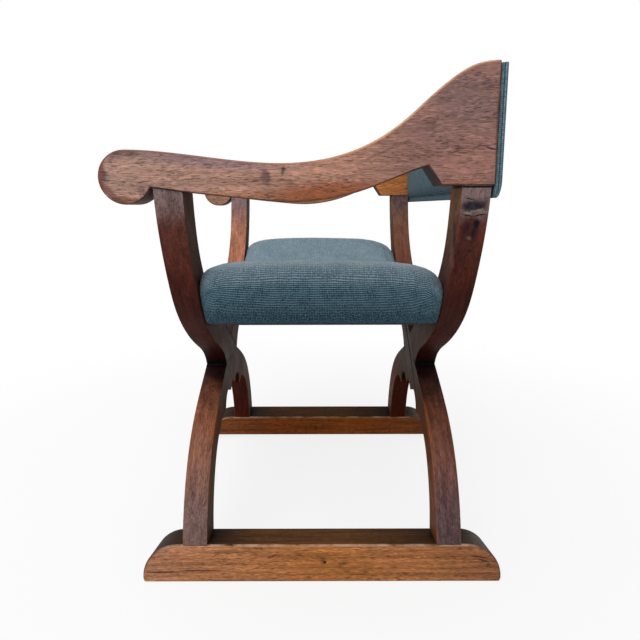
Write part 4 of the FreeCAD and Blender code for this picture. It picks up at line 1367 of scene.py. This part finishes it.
@dataclass
class HiddenFrame:
    """The pieces under the upholstery: rails, slats, deck and back board, and their tacks and screws."""

    softwood: PlainFinish = PlainFinish("raw_softwood", "#b08e66", "#8c6a48", (2 * MM, 60 * MM, 2 * MM),
                                        0.75)
    stained: PlainFinish = PlainFinish("stained_softwood", "#2a2624", "#1a1716", (60 * MM, 2 * MM, 2 * MM),
                                       0.7)
    steel: PlainFinish = PlainFinish("dull_steel", "#8a8680", "#5c5650", (3 * MM, 3 * MM, 3 * MM), 0.5, 1.0)

    def build(self) -> None:
        """Dresses the CAD nodes that stay."""
        wood, steel = self.softwood.material(), self.steel.material()
        for node in ("seat_side_rail_left", "seat_side_rail_right", "seat_slat_left_1", "seat_slat_left_2",
                     "seat_slat_right_1", "seat_slat_right_2", "seat_deck"):
            dress(node, wood)
        dress("back_board", self.stained.material())
        for node in ("seat_tacks", "back_screws"):
            dress(node, steel)


@dataclass
class Studio:
    """A pale floor and backdrop, two soft lamps, and the photograph's camera."""

    focal_pixels: float = 499.5
    frame_pixels: float = 640.0
    axis_pixel: tuple[float, float] = (317.2, 289.9)
    camera_place: Point = (1.034, -0.00545, 0.619)
    pitch: float = 9.48  # degrees below the level
    roll: float = -0.11
    key_place: Point = (2.2, -1.0, 2.3)
    key_size: float = 1.6
    key_power: float = 40.0
    top_place: Point = (0.4, -0.3, 2.8)
    top_size: float = 2.2
    top_power: float = 46.0
    aim: Point = (0.0, 0.0, 0.35)  # where both lamps point
    ambient: float = 0.36
    floor_size: float = 6.0  # from its middle to an edge
    floor_fade: tuple[float, float] = (0.35, 1.5)  # distances at which it starts and ends to turn white
    floor_glow: float = 0.84  # share of white where it is nearest to the chair

    def camera(self) -> None:
        """Sets the camera at the right side of the chair."""
        data = bpy.data.cameras.new("side_camera")
        data.sensor_width = 36.0
        data.lens = data.sensor_width * self.focal_pixels / self.frame_pixels
        data.shift_x = 0.5 - self.axis_pixel[0] / self.frame_pixels
        data.shift_y = self.axis_pixel[1] / self.frame_pixels - 0.5
        camera = bpy.data.objects.new("side_camera", data)
        camera.location = self.camera_place
        level = Euler((math.radians(90 - self.pitch), 0, math.radians(90))).to_matrix()
        camera.rotation_euler = (level @ Matrix.Rotation(math.radians(self.roll), 3, "Z")).to_euler()
        bpy.context.scene.collection.objects.link(camera)
        bpy.context.scene.camera = camera

    def lamp(self, name: str, place: Point, size: float, power: float) -> None:
        """Adds a soft square lamp that points at the chair.

        Args:
            name: the lamp's name.
            place: its centre.
            size: the length of its side.
            power: its power in watts.
        """
        data = bpy.data.lights.new(name, "AREA")
        data.size = size
        data.energy = power
        lamp = bpy.data.objects.new(name, data)
        lamp.location = place
        lamp.rotation_euler = (Vector(self.aim) - Vector(place)).to_track_quat("-Z", "Y").to_euler()
        bpy.context.scene.collection.objects.link(lamp)

    def world(self) -> None:
        """Gives even light, and a white background to the camera."""
        world = bpy.data.worlds.new("studio")
        bpy.context.scene.world = world
        world.use_nodes = True
        tree = world.node_tree
        tree.nodes.clear()
        seen = add(tree, "LightPath")
        even = add(tree, "Background", {"Color": (1, 1, 1, 1), "Strength": self.ambient})
        white = add(tree, "Background", {"Color": (1, 1, 1, 1), "Strength": 1.0})
        both = add(tree, "MixShader", {0: seen.outputs["Is Camera Ray"], 1: even, 2: white})
        add(tree, "OutputWorld", {"Surface": both})

    def floor(self) -> None:
        """Lays a pale floor that keeps the chair's shadow and fades into the background."""
        bm = bmesh.new()
        bmesh.ops.create_grid(bm, x_segments=8, y_segments=8, size=self.floor_size)
        mesh = bpy.data.meshes.new("floor")
        bm.to_mesh(mesh)
        bm.free()
        floor = bpy.data.objects.new("floor", mesh)
        bpy.context.scene.collection.objects.link(floor)
        material, tree = new_material("pale_studio_floor")
        paint = add(tree, "BsdfDiffuse", {"Color": linear("#dcdcdc")})
        glow = add(tree, "Emission", {"Color": (1, 1, 1, 1), "Strength": 1.0})
        place = add(tree, "TexCoord")
        away = add(tree, "VectorMath", {0: place.outputs["Object"]}, operation="LENGTH")
        fade = add(tree, "MapRange", {
            "Value": away.outputs["Value"], "From Min": self.floor_fade[0], "From Max": self.floor_fade[1],
            "To Min": self.floor_glow, "To Max": 1.0}, interpolation_type="SMOOTHSTEP")
        ray = add(tree, "LightPath")
        share = add(tree, "Math", {0: ray.outputs["Is Camera Ray"], 1: fade}, operation="MULTIPLY")
        both = add(tree, "MixShader", {0: share, 1: paint, 2: glow})
        add(tree, "OutputMaterial", {"Surface": both})
        floor.data.materials.append(material)

    def build(self) -> None:
        """Sets the camera, the lights and the floor."""
        self.camera()
        self.world()
        self.lamp("key_lamp", self.key_place, self.key_size, self.key_power)
        self.lamp("top_lamp", self.top_place, self.top_size, self.top_power)
        self.floor()
        bpy.context.scene.view_settings.view_transform = "Standard"


def main() -> None:
    """Builds the chair's sub-assemblies, its finishes and the studio."""
    logging.basicConfig(level=logging.INFO, format="%(name)s: %(message)s")
    LegFrame(End.FRONT, -228.45 * MM).build()
    LegFrame(End.BACK, 191.05 * MM, upward_painted_light_and_dirt=BACK_UPWARD_PAINTED_LIGHT_AND_DIRT, flat_face=BACK_FLAT_FACE, marks=REPAIR).build()
    for side in Side:
        Runner(side).build()
        Arm(side).build()
    HiddenFrame().build()
    seat = Seat()
    seat.build_cushion()
    seat.build_bottom_cloth()
    back = Back()
    back.build_front()
    back.build_rear()
    Studio().build()


if __name__ == "__main__":
    main()
